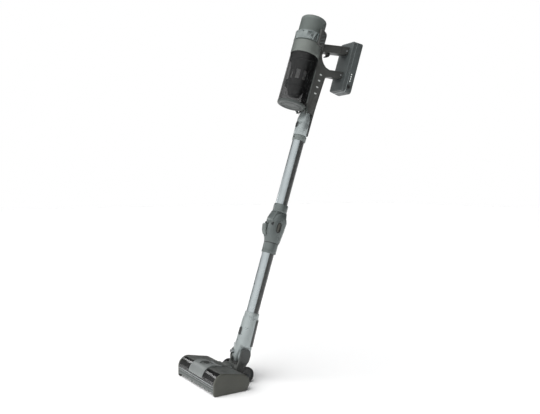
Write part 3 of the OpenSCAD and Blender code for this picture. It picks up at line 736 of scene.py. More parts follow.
prof = [(0, LID + 2.2), (20, LID + 2.2), (21, LID + 1.4), (24, LID + 1.4), (25, LID + 2.2), (37, LID + 2.2),
        (38.6, LID + 1.0), (42, LID + 0.2), (45, LID), (47.6, LID + 0.8), (BIN_R - 0.1, LID + 2.6),
        (BIN_R, LID + 4),
        (BIN_R, LID_TOP - 0.6), (BIN_R - 0.5, LID_TOP), (BIN_R - 3, LID_TOP), (BIN_R - 3.4, LID + 4.5),
        (0, LID + 4.5)]
lid = finish_mesh("bin_lid_skin", lathe(new(), prof, CAN, 128, closed=False), WAND, 30)
piece(lid, "lid", "bin_lid", ["bin_lid"])
bm = new()
for s in (-1, 1):
    ear = hull2d(circle(hinge.y, hinge.z, 2.9, 24) + [(-31, LID + 1), (-27, LID + 1), (-31, LID_TOP),
                                                      (-27, LID_TOP)])
    prism(bm, ear, s * 24 - 1.9, s * 24 + 1.9)
    bar(bm, 1.9, *span(s, 26, 30.2), 24, (hinge.y, hinge.z))
add("bin_lid_ears", bm, "lid", "bin_lid", angle=38)
bm = new()
for i in range(12):
    a = math.radians(30 * i + 15)
    rib = [turned(u, w, a) for u, w in box2d(26, -0.6, 37, 0.6)]
    prism(bm, rib, LID + 1.5, LID + 2.6, "z")
add("bin_lid_ribs", bm, "lid", "bin_lid", angle=38)

# Slider at the bin's side that lets the lid fall
bm = new()
r0, r1 = BIN_R + 0.5, BIN_R + 3.5
rings = []
sl_lo, sl_hi = wand_box("lid_slider")
for s, shrink in ((sl_lo[2], 1.2), (sl_lo[2] + 1.4, 0.2), (sl_lo[2] + 3, 0), (sl_hi[2] - 3, 0),
                  (sl_hi[2] - 1.4, 0.2),
                  (sl_hi[2], 1.2)):
    ring = []
    for u, v in rounded([(r0, -4), (r1 - shrink, -4 + shrink), (r1 - shrink, 4 - shrink), (r0, 4)], 1.0, 3):
        ring.append((*turned(u, v, SLIDER_TURN), s))
    rings.append(ring)
loft(bm, rings)
add("lid_slider_bar", bm, "bumper", "lid_slider", ["lid_slider"])
bm = new()
for i in range(5):
    s = sl_lo[2] + 10 + i * 3
    ring = [turned(u, v, SLIDER_TURN) for u, v in box2d(r1 - 0.6, -3, r1 + 0.5, 3)]
    prism(bm, ring, s, s + 1.2, "z")
add("lid_slider_grip", bm, "charcoal", "lid_slider", angle=38)

# ---------------------------------------------------------------- frame: spine, arms and shoulder
PLATE = wand_box("handle_plate")[0][1]
HALF_FRAME = 20.0


def cut_cylinder(name, r, lo, hi, at=CAN):
    """A cylinder along the wand, for cutting."""
    return finish_mesh(name, lathe(new(), box2d(0, lo, r, hi), at, 128, closed=False), WAND)


spine = [(19, 779, 2), (19.3, 872, 40), (23, 954, 40), (26, 1003, 8), (34, 1007.5, 12), (58, 1018.5, 20),
         (PLATE + 0.4, 1028.5, 0), (PLATE + 0.4, 1053, 0), (61, 1042.5, 20), (34, 1034, 10), (17, 1036, 14),
         (3, 1045, 14), (-6, 1056, 12),
         (-10.5, 1068, 8), (-10, 1082, 4), (11, 1090, 10), (58, 1107, 20), (PLATE + 0.4, 1120, 0),
         (PLATE + 0.4, 1148, 0), (61, 1136.5, 20), (-12, 1110, 4), (-34, 1106, 0), (-34, 864, 0),
         (-18.5, 862, 1), (-13, 840, 4), (8, 836, 3), (8, 779, 2)]
side = finish_mesh("spine_and_arms", prism(new(), rounded(spine, 3), -HALF_FRAME + 0.6, HALF_FRAME - 0.6),
                   WAND)
soften(side, 4.2, 4, 50)
bake(side)
carve(side, [cut_cylinder("cut_bin", BIN_R + 0.5, 850, S0 + 0.2), cut_cylinder("cut_housing", h_hi[0] + 0.3,
                                                                               S0, S1 + 0.1),
             cut_cylinder("cut_band", v_hi[0] + 0.3, S1, 1200), cut_cylinder("cut_pipe", 17.6, 855, 936,
                                                                             (0, -1)),
             cut_cylinder("cut_cone", 23.4, 770, 857, (0, -1))])
piece(side, "frame", "hand_unit", ["frame_left", "frame_right"])

POD0, POD1, POD_R = 1078.5, 1135, 56.2
RIB_COUNT, RIB_STEP = 3, 12.5
around = [(p[0], CY + p[1]) for p in arc(0, 0, POD_R, 4, 176, 44) + arc(0, 0, 45, 176, 4, 44)]
shoulder = finish_mesh("shoulder_pod", prism(new(), around, POD0, POD1, "z"), WAND)
soften(shoulder, 3.2, 4, 50)
bake(shoulder)
carve(shoulder, [cut_cylinder("cut_h", h_hi[0] + 0.3, 1000, S1 + 0.1),
                 cut_cylinder("cut_b", v_hi[0] + 0.3, S1, S2 + 0.3),
                 cut_cylinder("cut_c", cap_r + 0.8, S2, 1200)])
piece(shoulder, "frame", "hand_unit")


def wrapped_rib(bm, r, turn0, s0, turn1, s1, width, height, steps=8):
    """A low rib that runs slantwise round the canister."""
    rings = []
    for k in range(steps + 1):
        f = k / steps
        a, s = math.radians(turn0 + (turn1 - turn0) * f), s0 + (s1 - s0) * f
        rings.append([(rr * math.cos(a), CY + rr * math.sin(a), s + w) for rr, w in
                      ((r - 0.6, -width / 2), (r + height * 0.7, -width / 2), (r + height, -width / 4),
                       (r + height, width / 4),
                       (r + height * 0.7, width / 2), (r - 0.6, width / 2))])
    return loft(bm, rings)


bm = new()
for i in range(RIB_COUNT):
    for first, last in ((13, 36), (167, 144)):
        wrapped_rib(bm, POD_R, first, POD0 + 9 + i * RIB_STEP, last, POD0 + 22 + i * RIB_STEP, 3.0, 0.8)
add("shoulder_ribs", bm, "mid", "hand_unit")
bm = new()
for i in range(RIB_COUNT):
    for first, last in ((13, 38), (167, 142)):
        wrapped_rib(bm, POD_R, first, POD0 + 5 + i * RIB_STEP, last, POD0 + 21 + i * RIB_STEP, 2.6, 0.25)
add("shoulder_slots", bm, "black", "hand_unit")

# Dark strip down the back of the spine, a painted shade on its rear edge; seams and small fittings
bm = new()
back = [(18.2, 781), (18.8, 872), (22.6, 954), (25.4, 998)]
rings = [[(x, y + d, s) for x, d in rounded([(-19.7, -4.2), (19.7, -4.2), (19.2, 0.9), (-19.2, 0.9)], 1.2, 3)]
          for y, s in back]
loft(bm, rings)
add("spine_back_shade_strip", bm, "strip", "hand_unit")
bm = new()
for x in (-1, 1):
    a, b = span(x, 19.2, 20.05)
    prism(bm, rounded([(62, 1109.5), (64, 1109.8), (63, 1134.2), (61, 1134)], 0.3, 2), a - x * 0.35,
          b - x * 0.35)
add("arm_seams", bm, "black", "hand_unit", angle=38)
for n, (y, s) in enumerate(((88, 1131), (88, 1038))):
    for x in (-1, 1):
        screw("arm_screw_%d_%s" % (n, side_tag(x)), (x * 19.6, y, s), (x, 0, 0), 3.4, "hand_unit")
bm = new()
for s in (932, 956, 980, 1002):
    for x in (-1, 1):
        y = 1.5 + (s - 908) * 0.03
        prism(bm, rounded(box2d(y - 4.6, s - 2.2, y + 4.6, s + 2.2), 1.6, 4),
              *span(x, 19.1, 19.75))
add("spine_dashes", bm, "mark", "hand_unit", angle=38)

# Trigger: a black hook under the upper arm
t_axis = TO_WAND @ Vector(joints["trigger_pull"]["pos_m"])
ty, ts = t_axis.y, t_axis.z
hook = [(ty - 3, ts + 1, 2), (ty + 16, ts + 3, 2), (ty + 17.5, ts - 6, 4), (ty + 13, ts - 14.5, 6),
        (ty + 5, ts - 18.5, 5),
        (ty + 1.2, ts - 17.8, 1.3), (ty + 2.6, ts - 15.0, 1.2), (ty + 7.5, ts - 11.5, 4),
        (ty + 8.5, ts - 6, 3), (ty + 4, ts - 4, 2), (ty - 3, ts - 3, 2)]
bm = prism(new(), rounded(hook, 2, 6), -7.6, 7.6)
piece(soften(finish_mesh("trigger_hook", bm, WAND), 1.2, 3, 40), "black", "trigger", ["trigger"])

# ---------------------------------------------------------------- battery and its plate
b_lo, b_hi = wand_box("battery_pack")
BW, BS0, BS1, BY0, BY1 = b_hi[0], b_lo[2], b_hi[2], b_lo[1], b_hi[1]


def slope(y):
    """How far the sloping top lies under the pack's highest point."""
    return 9.0 * max(0.0, (BY1 - y) / (BY1 - PLATE))


def pack_ring(y, kx=0.0, kt=0.0, kb=0.0, r=8.0):
    """The pack's outline at depth y, drawn in by kx at the sides, kt at the top and kb at the foot."""
    top, foot, w = BS1 - kt - slope(y), BS0 + kb, BW - kx
    return level(rounded([(-w, foot, r), (w, foot, r), (w, top, r - 3), (-w, top, r - 3)], r, 8), y, "y")


plate = finish_mesh("handle_plate_skin", loft(new(), [pack_ring(PLATE), pack_ring(BY0 - 0.4)]), WAND)
piece(soften(plate, 2.4, 4, 32), "battery", "hand_unit", ["handle_plate"])
rings = [pack_ring(BY0 + 0.2, 1.0, 1.0, 1.0), pack_ring(BY0 + 1.0, 0.3, 0.3, 0.3),
         pack_ring(BY1 - 7, 0.3, 0.3, 0.3)]
for t in range(10, 91, 10):
    k, y = 1 - math.cos(math.radians(t)), BY1 - 7 + 7 * math.sin(math.radians(t))
    rings.append(pack_ring(y, 0.3 + 4.0 * k, 0.3 + 5.0 * k, 0.3 + 3.5 * k))
pack = finish_mesh("battery_pack_skin", loft(new(), rings), WAND)
grooves = []
for i in range(6):
    g = prism(new(), box2d(-20, BS1 - 32 - i * 6, 20, BS1 - 29.6 - i * 6),
              BY1 - 1.0, BY1 + 2, "y")
    grooves.append(finish_mesh("groove%d" % i, g, WAND))
socket = finish_mesh("socket", bar(new(), 2.8, BS0 - 1, BS0 + 10, 32, (16, BY0 + 16), "z"), WAND)
carve(pack, grooves + [socket])
piece(pack, "battery", "battery", ["battery_pack"])
# Silver trim line round the pack's front edge: painted highlight on the rounded edge
bm = new()
loft(bm, [pack_ring(BY0 + y, k, k, k) for k, y in ((0.9, 5.6), (0, 5.9), (0, 7.4), (0.9, 7.7), (3.0, 7.7),
                                                   (3.0, 5.6), (0.9, 5.6))],
     cap=False)
add("battery_edge_highlight_trim", bm, "silver", "battery")
bb_lo, bb_hi = wand_box("battery_button")
cy, cs = (bb_lo[1] + bb_hi[1]) / 2, (bb_lo[2] + bb_hi[2]) / 2
prof = [(0, BW - 1.4), (7, BW - 1.4), (7, BW - 0.2), (6.4, BW + 0.7), (5.2, BW + 1.0), (4.4, BW + 0.55),
        (0, BW + 0.35)]
add("battery_button_cap", lathe(new(), prof, (cy, cs), 48, "x", closed=False), "black", "battery_button",
    ["battery_button"])
prof = [(7.3, BW - 1), (9.2, BW - 1), (9.2, BW + 0.1), (8.8, BW + 0.4), (7.8, BW + 0.4), (7.3, BW + 0.1)]
add("battery_button_ring", lathe(new(), prof, (cy, cs), 48, "x"), "charcoal", "battery")
bm = new()
for i in range(4):
    s = cs + 19 + i * 8.5
    prism(bm, rounded(box2d(cy - 1.7, s, cy + 1.7, s + 4.6), 1.4, 4), BW - 0.4, BW + 0.15)
add("battery_lights", bm, "led", "battery", angle=38)
bm = new()
for x in (-BW + 9, BW - 9):
    for s in (BS0 + 40, BS1 - 12):
        bar(bm, 3.0, BY1 - 0.6, BY1, 24, (x, s), "y", 0.2)
add("battery_feet", bm, "rubber", "battery", angle=38)

# ---------------------------------------------------------------- wand: connector, tubes and collars
TY = -1.0
CS = wand_box("inlet_pipe")[0][2]
prof = [(20.4, CS), (22.4, CS), (23.0, CS + 0.8), (23.0, CS + 42), (22.6, CS + 43), (22.1, CS + 43.2),
        (22.1, CS + 44.6),
        (22.7, CS + 45), (22.8, CS + 58), (22.0, CS + 63), (19.8, CS + 72), (18.3, CS + 78), (17.2, CS + 84),
        (17.0, CS + 90), (17.0, CS + 158), (15, CS + 158), (15, CS + 40), (20.4, CS + 40)]
pipe = finish_mesh("inlet_pipe_skin", lathe(new(), prof, (0, TY), 96), WAND, 28)
piece(pipe, "silver", "hand_unit", ["inlet_pipe"])
wb_lo, wb_hi = wand_box("wand_button")
ws = (wb_lo[2] + wb_hi[2]) / 2


def oval_rings(y_face, s, w, h, stations):
    """Oval rings on the front of the wand. A station is (drawn in by, depth behind the face)."""
    return [level(rounded(box2d(-w + k, s - h + k, w - k, s + h - k, w), seg=8), y_face + y, "y")
            for k, y in stations]


def oval_frame(name, y_face, s, w, h, body, mat, depth=2.2, out=0.5):
    """A raised oval surround for a button on the front of the wand."""
    rings = oval_rings(y_face, s, w, h, ((0.0, depth), (0.0, -out + 0.3), (0.4, -out), (1.0, -out),
                                         (1.2, -out + 0.3), (1.2, depth)))
    return add(name, loft(new(), rings + [rings[0]], cap=False), mat, body)


def oval_button(name, y_face, s, w, h, body, mat, replaced, dish=0.5):
    """The button inside such a surround, with a dished face."""
    rings = oval_rings(y_face, s, w, h, ((0.0, 1.6), (0.0, 0.2), (0.5, -0.2), (1.4, -0.35),
                                         (2.6, -0.2 + dish), (w - 0.3, dish)))
    return add(name, loft(new(), rings), mat, body, replaced)


pocket = box2d(-6.6, ws - 10.6, 6.6, ws + 10.6, 6.6)
carve(pipe, [finish_mesh("cut_pocket", prism(new(), rounded(pocket, seg=8), wb_lo[1] - 3, wb_lo[1] + 3.8,
                                             "y"), WAND)])
oval_frame("wand_button_frame", wb_lo[1] + 1.0, ws, 7.8, 11.8, "hand_unit", "silver")
oval_button("wand_button_cap", wb_lo[1] + 0.4, ws, 5.9, 9.9, "wand_button", "black", ["wand_button"])
uc_lo, uc_hi = wand_box("upper_collar")
prof = [(19.6, uc_lo[2]), (21.6, uc_lo[2]), (22.8, uc_lo[2] + 0.8), (23.4, uc_lo[2] + 2),
        (23.4, uc_hi[2] - 1.2),
        (22.8, uc_hi[2] - 0.3), (19.6, uc_hi[2] - 0.3)]
add("upper_collar_skin", lathe(new(), prof, (0, 0), 96), "mid", "hand_unit", ["upper_collar"])
prof = [(0, -23.9), (2.6, -23.9), (3.1, -23.5), (3.2, -22.0), (0, -22.0)]
add("contact_dot", lathe(new(), prof, (0, (uc_lo[2] + uc_hi[2]) / 2), 28, "y", closed=False), "black",
    "hand_unit")
lc_lo, lc_hi = wand_box("lower_collar")
prof = [(19.6, lc_lo[2]), (lc_hi[0], lc_lo[2]), (lc_hi[0], lc_lo[2] + 3), (lc_hi[0] - 0.4, lc_lo[2] + 3.5),
        (lc_hi[0] - 0.4, lc_lo[2] + 4.6),
        (lc_hi[0], lc_lo[2] + 5.1), (lc_hi[0] - 0.2, lc_hi[2] - 3), (lc_hi[0] - 1.2, lc_hi[2] - 0.8),
        (lc_hi[0] - 3, lc_hi[2]), (19.6, lc_hi[2])]
add("lower_collar_skin", lathe(new(), prof, (0, 0), 96), "silver", "lower_wand", ["lower_collar"])

# ---------------------------------------------------------------- fold joint
fold = TO_WAND @ Vector(joints["wand_fold"]["pos_m"])
FY, FS = fold.y, fold.z


def collar_profile(r, lo, hi, groove_at):
    """Profile of a closed collar with soft ends and one groove."""
    return [(0, lo), (r - 1.2, lo), (r - 0.2, lo + 0.8), (r, lo + 1.6), (r, groove_at - 0.5),
            (r - 0.7, groove_at),
            (r - 0.7, groove_at + 1.2), (r, groove_at + 1.7), (r, hi - 1.6), (r - 0.2, hi - 0.8),
            (r - 1.2, hi), (0, hi)]


sections = [  # s, front y, rear y, half width, squareness
    (FS - 74, -24.6, 24.4, 24.4, 2.0), (FS - 72, -25.6, 27.6, 24.8, 2.05), (FS - 62, -29.0, 28.4, 25.2, 2.15),
    (FS - 52, -34.0, 29.6, 25.6, 2.25), (FS - 40, -37.6, 31.2, 25.9, 2.35), (FS - 26, -39.0, 33.0, 26.2, 2.4),
    (FS - 10, -37.4, 35.0, 26.3, 2.4), (FS + 2, -35.4, 36.0, 26.2, 2.35), (FS + 10, -32.6, 33.0, 26.0, 2.3),
    (FS + 18, -28.0, 26.8, 25.2, 2.25), (FS + 24, -22.0, 19.4, 24.0, 2.2),
    (FS + 27.4, -15.0, 10.5, 22.0, 2.15),
    (FS + 28.6, -9.0, 5.0, 20.2, 2.1)]
rings = [level(oval(0, (front + rear) / 2, w, (rear - front) / 2, e, 96), s)
          for s, front, rear, w, e in sections]
body = finish_mesh("joint_fork_body", loft(new(), rings), WAND)
slot = hull2d(circle(FY, FS, 29.4, 96) + [(-60, FS + 9), (-60, FS + 60), (60, FS + 60), (60, FS - 14)])
cuts = [finish_mesh("cut_slot", prism(new(), slot, -18.9, 18.9), WAND),
        finish_mesh("cut_lever", prism(new(), box2d(-60, FS - 57, -30.5, FS + 7), -9.8, 9.8), WAND)]
carve(body, cuts)
soften(body, 0.7, 2, 50)
bake(body, 32)
piece(body, "joint", "lower_wand", ["joint_fork"])
bm = lathe(new(), collar_profile(24.5, FS - 110, FS - 73, FS - 101), (0, 0), 96, closed=False)
add("joint_lower_collar", bm, "joint", "lower_wand")
bm = lathe(new(), [(24.9, FS - 76), (25.1, FS - 75.4), (25.1, FS - 73.6), (24.9, FS - 73), (20, FS - 73),
                   (20, FS - 76)], (0, 0), 96)
add("joint_seam_ring", bm, "charcoal", "lower_wand")
# Upper half
bm = new()
prism(bm, hull2d(circle(FY, FS, 28, 96) + [(-20, FS + 33), (20, FS + 33)]), -18.5, 18.5)
knuckle = finish_mesh("joint_knuckle_body", bm, WAND)
soften(knuckle, 2.2, 4, 50)
piece(bake(knuckle), "joint", "hand_unit", ["joint_knuckle"])
bm = lathe(new(), [(0, FS + 31.4), (22.6, FS + 31.4), (24.2, FS + 32.4), (24.5, FS + 34), (24.5, FS + 38),
                   (23.9, FS + 38.5),
                   (23.9, FS + 39.7), (24.5, FS + 40.2), (24.3, FS + 57), (23.4, FS + 59.2), (21.6, FS + 60),
                   (0, FS + 60)],
           (0, 0), 96, closed=False)
add("joint_upper_collar", bm, "joint", "hand_unit")


# Oval covers on both sides, a dark rim and a dished middle. The olive inlay covers only the front half as a
# painted lit half, and the black rear half is painted shade
def side_rings(x, y0, s0, y1, s1, r, seg, stations):
    """Rings of a plate on side x of the fold joint. A station is (drawn in by, distance from the middle)."""
    return [level(rounded(box2d(FY + y0 + k, FS + s0 + k, FY + y1 - k, FS + s1 - k), max(0.4, r - k), seg),
                  x * h, "x") for k, h in stations]


for x in (-1, 1):
    tag = side_tag(x)
    rings = side_rings(x, -8.6, -38, 8.6, -4, 8.5, 8, ((-0.2, 24.0), (-0.2, 26.9), (0.5, 27.5), (1.6, 27.7),
                                                       (2.4, 27.2), (4.4, 26.8)))
    bm = loft(new(), rings)
    add("joint_cover_" + tag, bm, "black", "lower_wand", ["joint_covers"] if x > 0 else ())
    bm = loft(new(), side_rings(x, -6.0, -35.4, 1.4, -6.6, 3.6, 6, ((0.0, 26.6), (0.0, 27.2), (0.6, 27.6),
                                                                    (1.6, 27.6))))
    add("joint_lit_half_inlay_" + tag, bm, "olive", "lower_wand")
    bm = new()
    prism(bm, rounded([(FY - 28.5, FS - 17, 1.5), (FY - 24, FS - 17, 1.5), (FY - 23, FS - 8, 1.5),
                       (FY - 26, FS - 6, 1.5)], 1.5, 4),
          *span(x, 19.5, 23.4))
    add("joint_notch_" + tag, bm, "black", "lower_wand")
    bm = new()
    prism(bm, rounded([(10, FS - 60, 1.0), (13, FS - 60, 1.0), (15.5, FS - 30, 1.0), (12.5, FS - 30, 1.0)],
                      1.0, 4),
          *span(x, 20.5, 23.4))
    add("joint_seam_" + tag, bm, "charcoal", "lower_wand")
lev = [(-31.5, FS - 54, 2), (-37.5, FS - 53, 3), (-44.0, FS - 42, 12), (-47.4, FS - 24, 5),
       (-47.2, FS - 17.5, 1.6),
       (-43.4, FS - 17.0, 1.4), (-41.0, FS - 24, 4), (-38.8, FS - 35, 8), (-33.0, FS - 43, 3)]
lever = finish_mesh("joint_lever_skin", prism(new(), rounded(lev, 2, 6), -9.0, 9.0), WAND)
soften(lever, 1.1, 3, 50)
piece(bake(lever), "mid", "joint_lever", ["joint_lever"])
bm = new()
for i in range(5):
    s = FS - 41 + i * 4.2
    y = -43.6 - (s - FS + 41) * 0.19
    prism(bm, rounded(box2d(y - 0.8, s, y + 2.2, s + 1.4), 0.5, 3), -6.8, 6.8)
add("joint_lever_ribs", bm, "charcoal", "joint_lever")


def bellows(name, r, path, node, turns):
    """A ribbed hose along a path."""
    rings = []
    total = sum((b - a).length for a, b in zip(path, path[1:]))
    steps = turns * 6
    for k in range(steps + 1):
        want = total * k / steps
        for a, b in zip(path, path[1:]):
            if want <= (b - a).length or b is path[-1]:
                p, t = a + (b - a) * min(1.0, want / (b - a).length), (b - a).normalized()
                break
            want -= (b - a).length
        u = Vector((1, 0, 0))
        v = t.cross(u).normalized()
        rr = r - 0.8 * (0.5 + 0.5 * math.cos(2 * math.pi * k / 6))
        rings.append([tuple(p + u * rr * math.cos(a) + v * rr * math.sin(a))
                      for a in (2 * math.pi * i / 40 for i in range(40))])
    ob = finish_mesh(name, loft(new(), rings), HEAD, 60)
    ob.data.materials.append(MATS["hose"])
    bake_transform(ob)
    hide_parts(node)


def world(x, y, s):
    """A point of the wand's frame in the head's frame, in millimetres."""
    return WAND @ Vector((x, y, s)) / MM


fold_pivot = Vector(joints["wand_fold"]["pos_m"])
bellows("joint_hose_bellows", 12.4, [world(0, 0, FS - 76), world(0, 0, FS + 34)],
        "joint_hose", 19)

# ---------------------------------------------------------------- neck: socket, button, cheeks and yoke
pitch = Vector(joints["neck_pitch"]["pos_m"]) / MM
PS = pitch_s
NUB_AT = (-14, 22)
NT = lc_lo[2]
rings = [level(oval(0, (front + rear) / 2, rx, (rear - front) / 2, 2.0, 96), s)
          for s, rx, front, rear in ((NT + 0.3, 26.3, -26.3, 26.3), (NT - 1.2, 26.5, -26.5, 26.5),
                                     (NT - 30, 27.2, -27.2, 27.2), (NT - 60, 28.0, -28.0, 28.0),
                                     (60, 28.8, -28.8, 28.6), (52, 29.0, -29.0, 28.6),
                                     (47, 28.6, -29.2, 28.0), (44.2, 26.8, -29.2, 26.0),
                                     (43, 23.8, -28.8, 23.0))]
neck = finish_mesh("neck_socket_skin", loft(new(), rings), WAND)
pocket = finish_mesh("cut_button", prism(new(), rounded(box2d(-7.4, 78.6, 7.4, 106.4, 7), seg=8),
                                         -40, -24.4, "y"), WAND)
carve(neck, [pocket])
bake(neck, 30)
piece(neck, "silver", "lower_wand", ["neck_socket"])
# The bib that runs down between the cheeks, and the hinge tongue behind it
bm = new()
rings = [level(oval(0, front + 9.0, w, 9.0, 2.6, 48), s)
          for s, w, front in ((50, 24.0, -28.9), (42, 21.4, -28.6), (32, 19.2, -27.4), (20, 15.6, -25.4),
                              (8, 11.4, -23.0), (-1, 7.4, -20.6), (-5, 4.2, -18.6))]
loft(bm, rings)
for x in (-1, 1):
    prism(bm, hull2d(circle(0, PS, 19.3, 64) + [(-20, 46), (20, 46)]), *span(x, 13.6, 21.6))
piece(soften(finish_mesh("neck_bib", bm, WAND, 34), 0.8, 2, 50), "silver", "lower_wand")
nb_lo, nb_hi = wand_box("neck_button")
oval_frame("neck_button_frame", -27.4, (nb_lo[2] + nb_hi[2]) / 2, 8.4, 15.0, "lower_wand", "silver", 3.0, 0.4)
oval_button("neck_button_cap", nb_lo[1] + 0.9, (nb_lo[2] + nb_hi[2]) / 2, 6.9, 13.4, "neck_button",
            "charcoal", ["neck_button"], 0.9)
prof = [(0, -33.6), (5.0, -33.6), (6.4, -33.0), (6.8, -31.8), (6.8, -18.0), (0, -18.0)]
add("neck_nub", lathe(new(), prof, NUB_AT, 32, "y", closed=False), "steel", "lower_wand")
prof = [(0, -34.4), (2.4, -34.4), (3.2, -34.0), (3.4, -31.0), (0, -31.0)]
add("neck_nub_pin", lathe(new(), prof, NUB_AT, 24, "y", closed=False), "black", "lower_wand")

# Dark shell down the back of the neck: painted shade on the neck's rear half
bm = new()
rings = [level(arc(0, 0, r, 14, 166, 36) + arc(0, 0, r - 2.6, 166, 14, 36), s)
          for s, r in ((50, 28.9), (52, 29.6), (60, 29.5), (NT - 60, 28.7), (NT - 30, 27.9), (NT - 3, 27.2),
                       (NT - 1, 26.6))]
add("neck_back_shade_shell", loft(bm, rings), "charcoal", "lower_wand", angle=34)

YOKE_FRONT = head_box("swivel_yoke")[0][1]
roll_z = joints["head_roll"]["pos_m"][2] / MM


def cheek_points(g=0.0, n=40):
    """The cheek's oval in Y and Z: two circles along the wand's own direction."""
    out = []
    for t in (-4.5, 4.5):
        out += circle(pitch.y + t * math.sin(LEAN), pitch.z + t * math.cos(LEAN), 18.8 + g, n)
    return out


bm = new()
bar(bm, 19.6, YOKE_FRONT + 0.5, 50, 64, (0, roll_z), "y")
rings = []
for k in range(13):
    t = -1 + 2 * k / 12
    x = 30 * t
    r = 15.2 * (1 - abs(t) ** 4) ** 0.25 if abs(t) < 1 else 4.0
    rings.append([(x, 59 + q[0] * max(r, 6.0) / 15.2, 33 + q[1] * max(r, 6.0) / 15.2) for q in circle(0, 0,
                                                                                                      14.8,
                                                                                                      40)])
loft(bm, rings)
for x in (-1, 1):
    prism(bm, hull2d(cheek_points(-0.8) + circle(59, 32, 13.5)), *span(x, 22.6, 29.4))
    rings = []
    for f in (0.0, 0.5, 1.0):
        cx, cy, cz = x * (12 + 13 * f), 50 + 12 * f, 33 + 14 * f
        rings.append([(cx + q[0] * 0.35, cy + q[0] * 0.3, cz + q[1]) for q in circle(0, 0, 12 - 3 * f, 24)])
    loft(bm, rings)
yoke = finish_mesh("swivel_yoke_skin", bm, HEAD)
fuse(yoke, 1.1, 5)
carve(yoke, [finish_mesh("cut_pitch", prism(new(), circle(pitch.y, pitch.z, 21.4, 80), -22.1, 22.1), HEAD)])
piece(yoke, "dark", "yoke", ["swivel_yoke"])
for x in (-1, 1):
    tag = side_tag(x)
    bm = new()
    rings = []
    for g, h in ((-1.0, 27.5), (-0.4, 30.2), (-0.9, 31.2), (-2.0, 31.7), (-3.0, 31.3), (-3.6, 30.9),
                 (-9.0, 31.5), (-16, 31.7)):
        pts = []
        n = 72
        for i in range(n):
            a = 2 * math.pi * i / n
            c, s = math.cos(a), math.sin(a)
            r = 19.8 + g
            u, v = r * c - 2.5, r * s + (8.6 if s > 0 else -4.5) * min(1.0, abs(s) * 3)
            pts.append((x * h, pitch.y + u * math.cos(LEAN) + v * math.sin(LEAN),
                        pitch.z - u * math.sin(LEAN) + v * math.cos(LEAN)))
        rings.append(pts)
    loft(bm, rings)
    add("pivot_cover_" + tag, bm, "cheek", "yoke", ["pivot_covers"] if x > 0 else (), place=HEAD, angle=26)

bellows("neck_hose_bellows", 11.2,
        [Vector((0, 10, roll_z)), Vector((0, 50, roll_z)), Vector((0, 60, roll_z + 6)), Vector((0, 72, 52)),
         Vector((0, pitch.y, pitch.z)), world(0, 0, PS + 14), world(0, 0, PS + 50)],
        "neck_hose", 20)

# ---------------------------------------------------------------- cleaning head
e_lo, e_hi = head_box("end_cap_right")
HALF_W = e_hi[0]
CAP_X = HALF_W - 8
brush_y, brush_z = [c / MM for c in joints["brush_spin"]["pos_m"]][1:]
NOSE, NOSE_R = (e_lo[1] + 32, e_hi[2] - 32), 32.0
TAIL, TAIL_R = (e_hi[1] - 25.5, 26.0), 25.5


def head_path(g=0.0):
    """The head's skin from its front lip over the top to its tail, as (y, z, normal y, normal z),
    moved outwards by g."""
    d = Vector(TAIL) - Vector(NOSE)
    lean_n = math.degrees(math.atan2(d.y, d.x) + math.acos((NOSE_R - TAIL_R) / d.length))
    out = []
    for k in range(6):
        out.append((NOSE[0] - NOSE_R - g, 18 + (NOSE[1] - 18) * k / 5, -1.0, 0.0))
    for k in range(25):
        a = math.radians(180 + (lean_n - 180) * k / 24)
        out.append((NOSE[0] + (NOSE_R + g) * math.cos(a), NOSE[1] + (NOSE_R + g) * math.sin(a), math.cos(a),
                    math.sin(a)))
    a = math.radians(lean_n)
    p, q = out[-1], (TAIL[0] + (TAIL_R + g) * math.cos(a), TAIL[1] + (TAIL_R + g) * math.sin(a))
    for k in range(1, 24):
        out.append((p[0] + (q[0] - p[0]) * k / 24, p[1] + (q[1] - p[1]) * k / 24, math.cos(a), math.sin(a)))
    for k in range(13):
        a = math.radians(lean_n + (0 - lean_n) * k / 12)
        out.append((TAIL[0] + (TAIL_R + g) * math.cos(a), TAIL[1] + (TAIL_R + g) * math.sin(a), math.cos(a),
                    math.sin(a)))
    return out


def ribbon(name, stations, shoulder=1.6, sink=2.5, crown=0.0, g=0.0):
    """A raised panel that lies on the head's skin. A station is ((y, z) near the skin,
    half width, height). g lifts the path off the skin."""
    path = head_path(g)
    lengths = [0.0]
    for a, b in zip(path, path[1:]):
        lengths.append(lengths[-1] + math.hypot(b[0] - a[0], b[1] - a[1]))

    def find(key):
        best = min(range(len(path)), key=lambda i: abs(path[i][0] - key[0]) + abs(path[i][1] - key[1]))
        return lengths[best]
    keys = [(find(k[0]),) + tuple(k[1:]) for k in stations]
    n = 44
    rings = []
    for k in range(n + 1):
        t = keys[0][0] + (keys[-1][0] - keys[0][0]) * k / n
        for a, b in zip(keys, keys[1:]):
            if a[0] <= t <= b[0] + 1e-6:
                f = (t - a[0]) / max(1e-6, b[0] - a[0])
                f = f * f * (3 - 2 * f)
                hw, h = a[1] + (b[1] - a[1]) * f, a[2] + (b[2] - a[2]) * f
                break
        i = max(j for j in range(len(lengths)) if lengths[j] <= t + 1e-9)
        i = min(i, len(path) - 2)
        f = (t - lengths[i]) / max(1e-6, lengths[i + 1] - lengths[i])
        y, z, ny, nz = [path[i][c] + (path[i + 1][c] - path[i][c]) * f for c in range(4)]
        sec = [(-hw, -sink), (-hw, h - shoulder)]
        for m in range(1, 5):
            a = math.radians(180 - 90 * m / 4)
            sec.append((-hw + shoulder + shoulder * math.cos(a), h - shoulder + shoulder * math.sin(a)))
        for m in range(1, 10):
            u = -1 + 2 * m / 10
            sec.append((u * (hw - shoulder), h + crown * (1 - u * u)))
        for m in range(0, 5):
            a = math.radians(90 - 90 * m / 4)
            sec.append((hw - shoulder + shoulder * math.cos(a), h - shoulder + shoulder * math.sin(a)))
        sec.append((hw, -sink))
        rings.append([(x, y + ny * q, z + nz * q) for x, q in sec])
    return finish_mesh(name, loft(new(), rings), HEAD, 34)


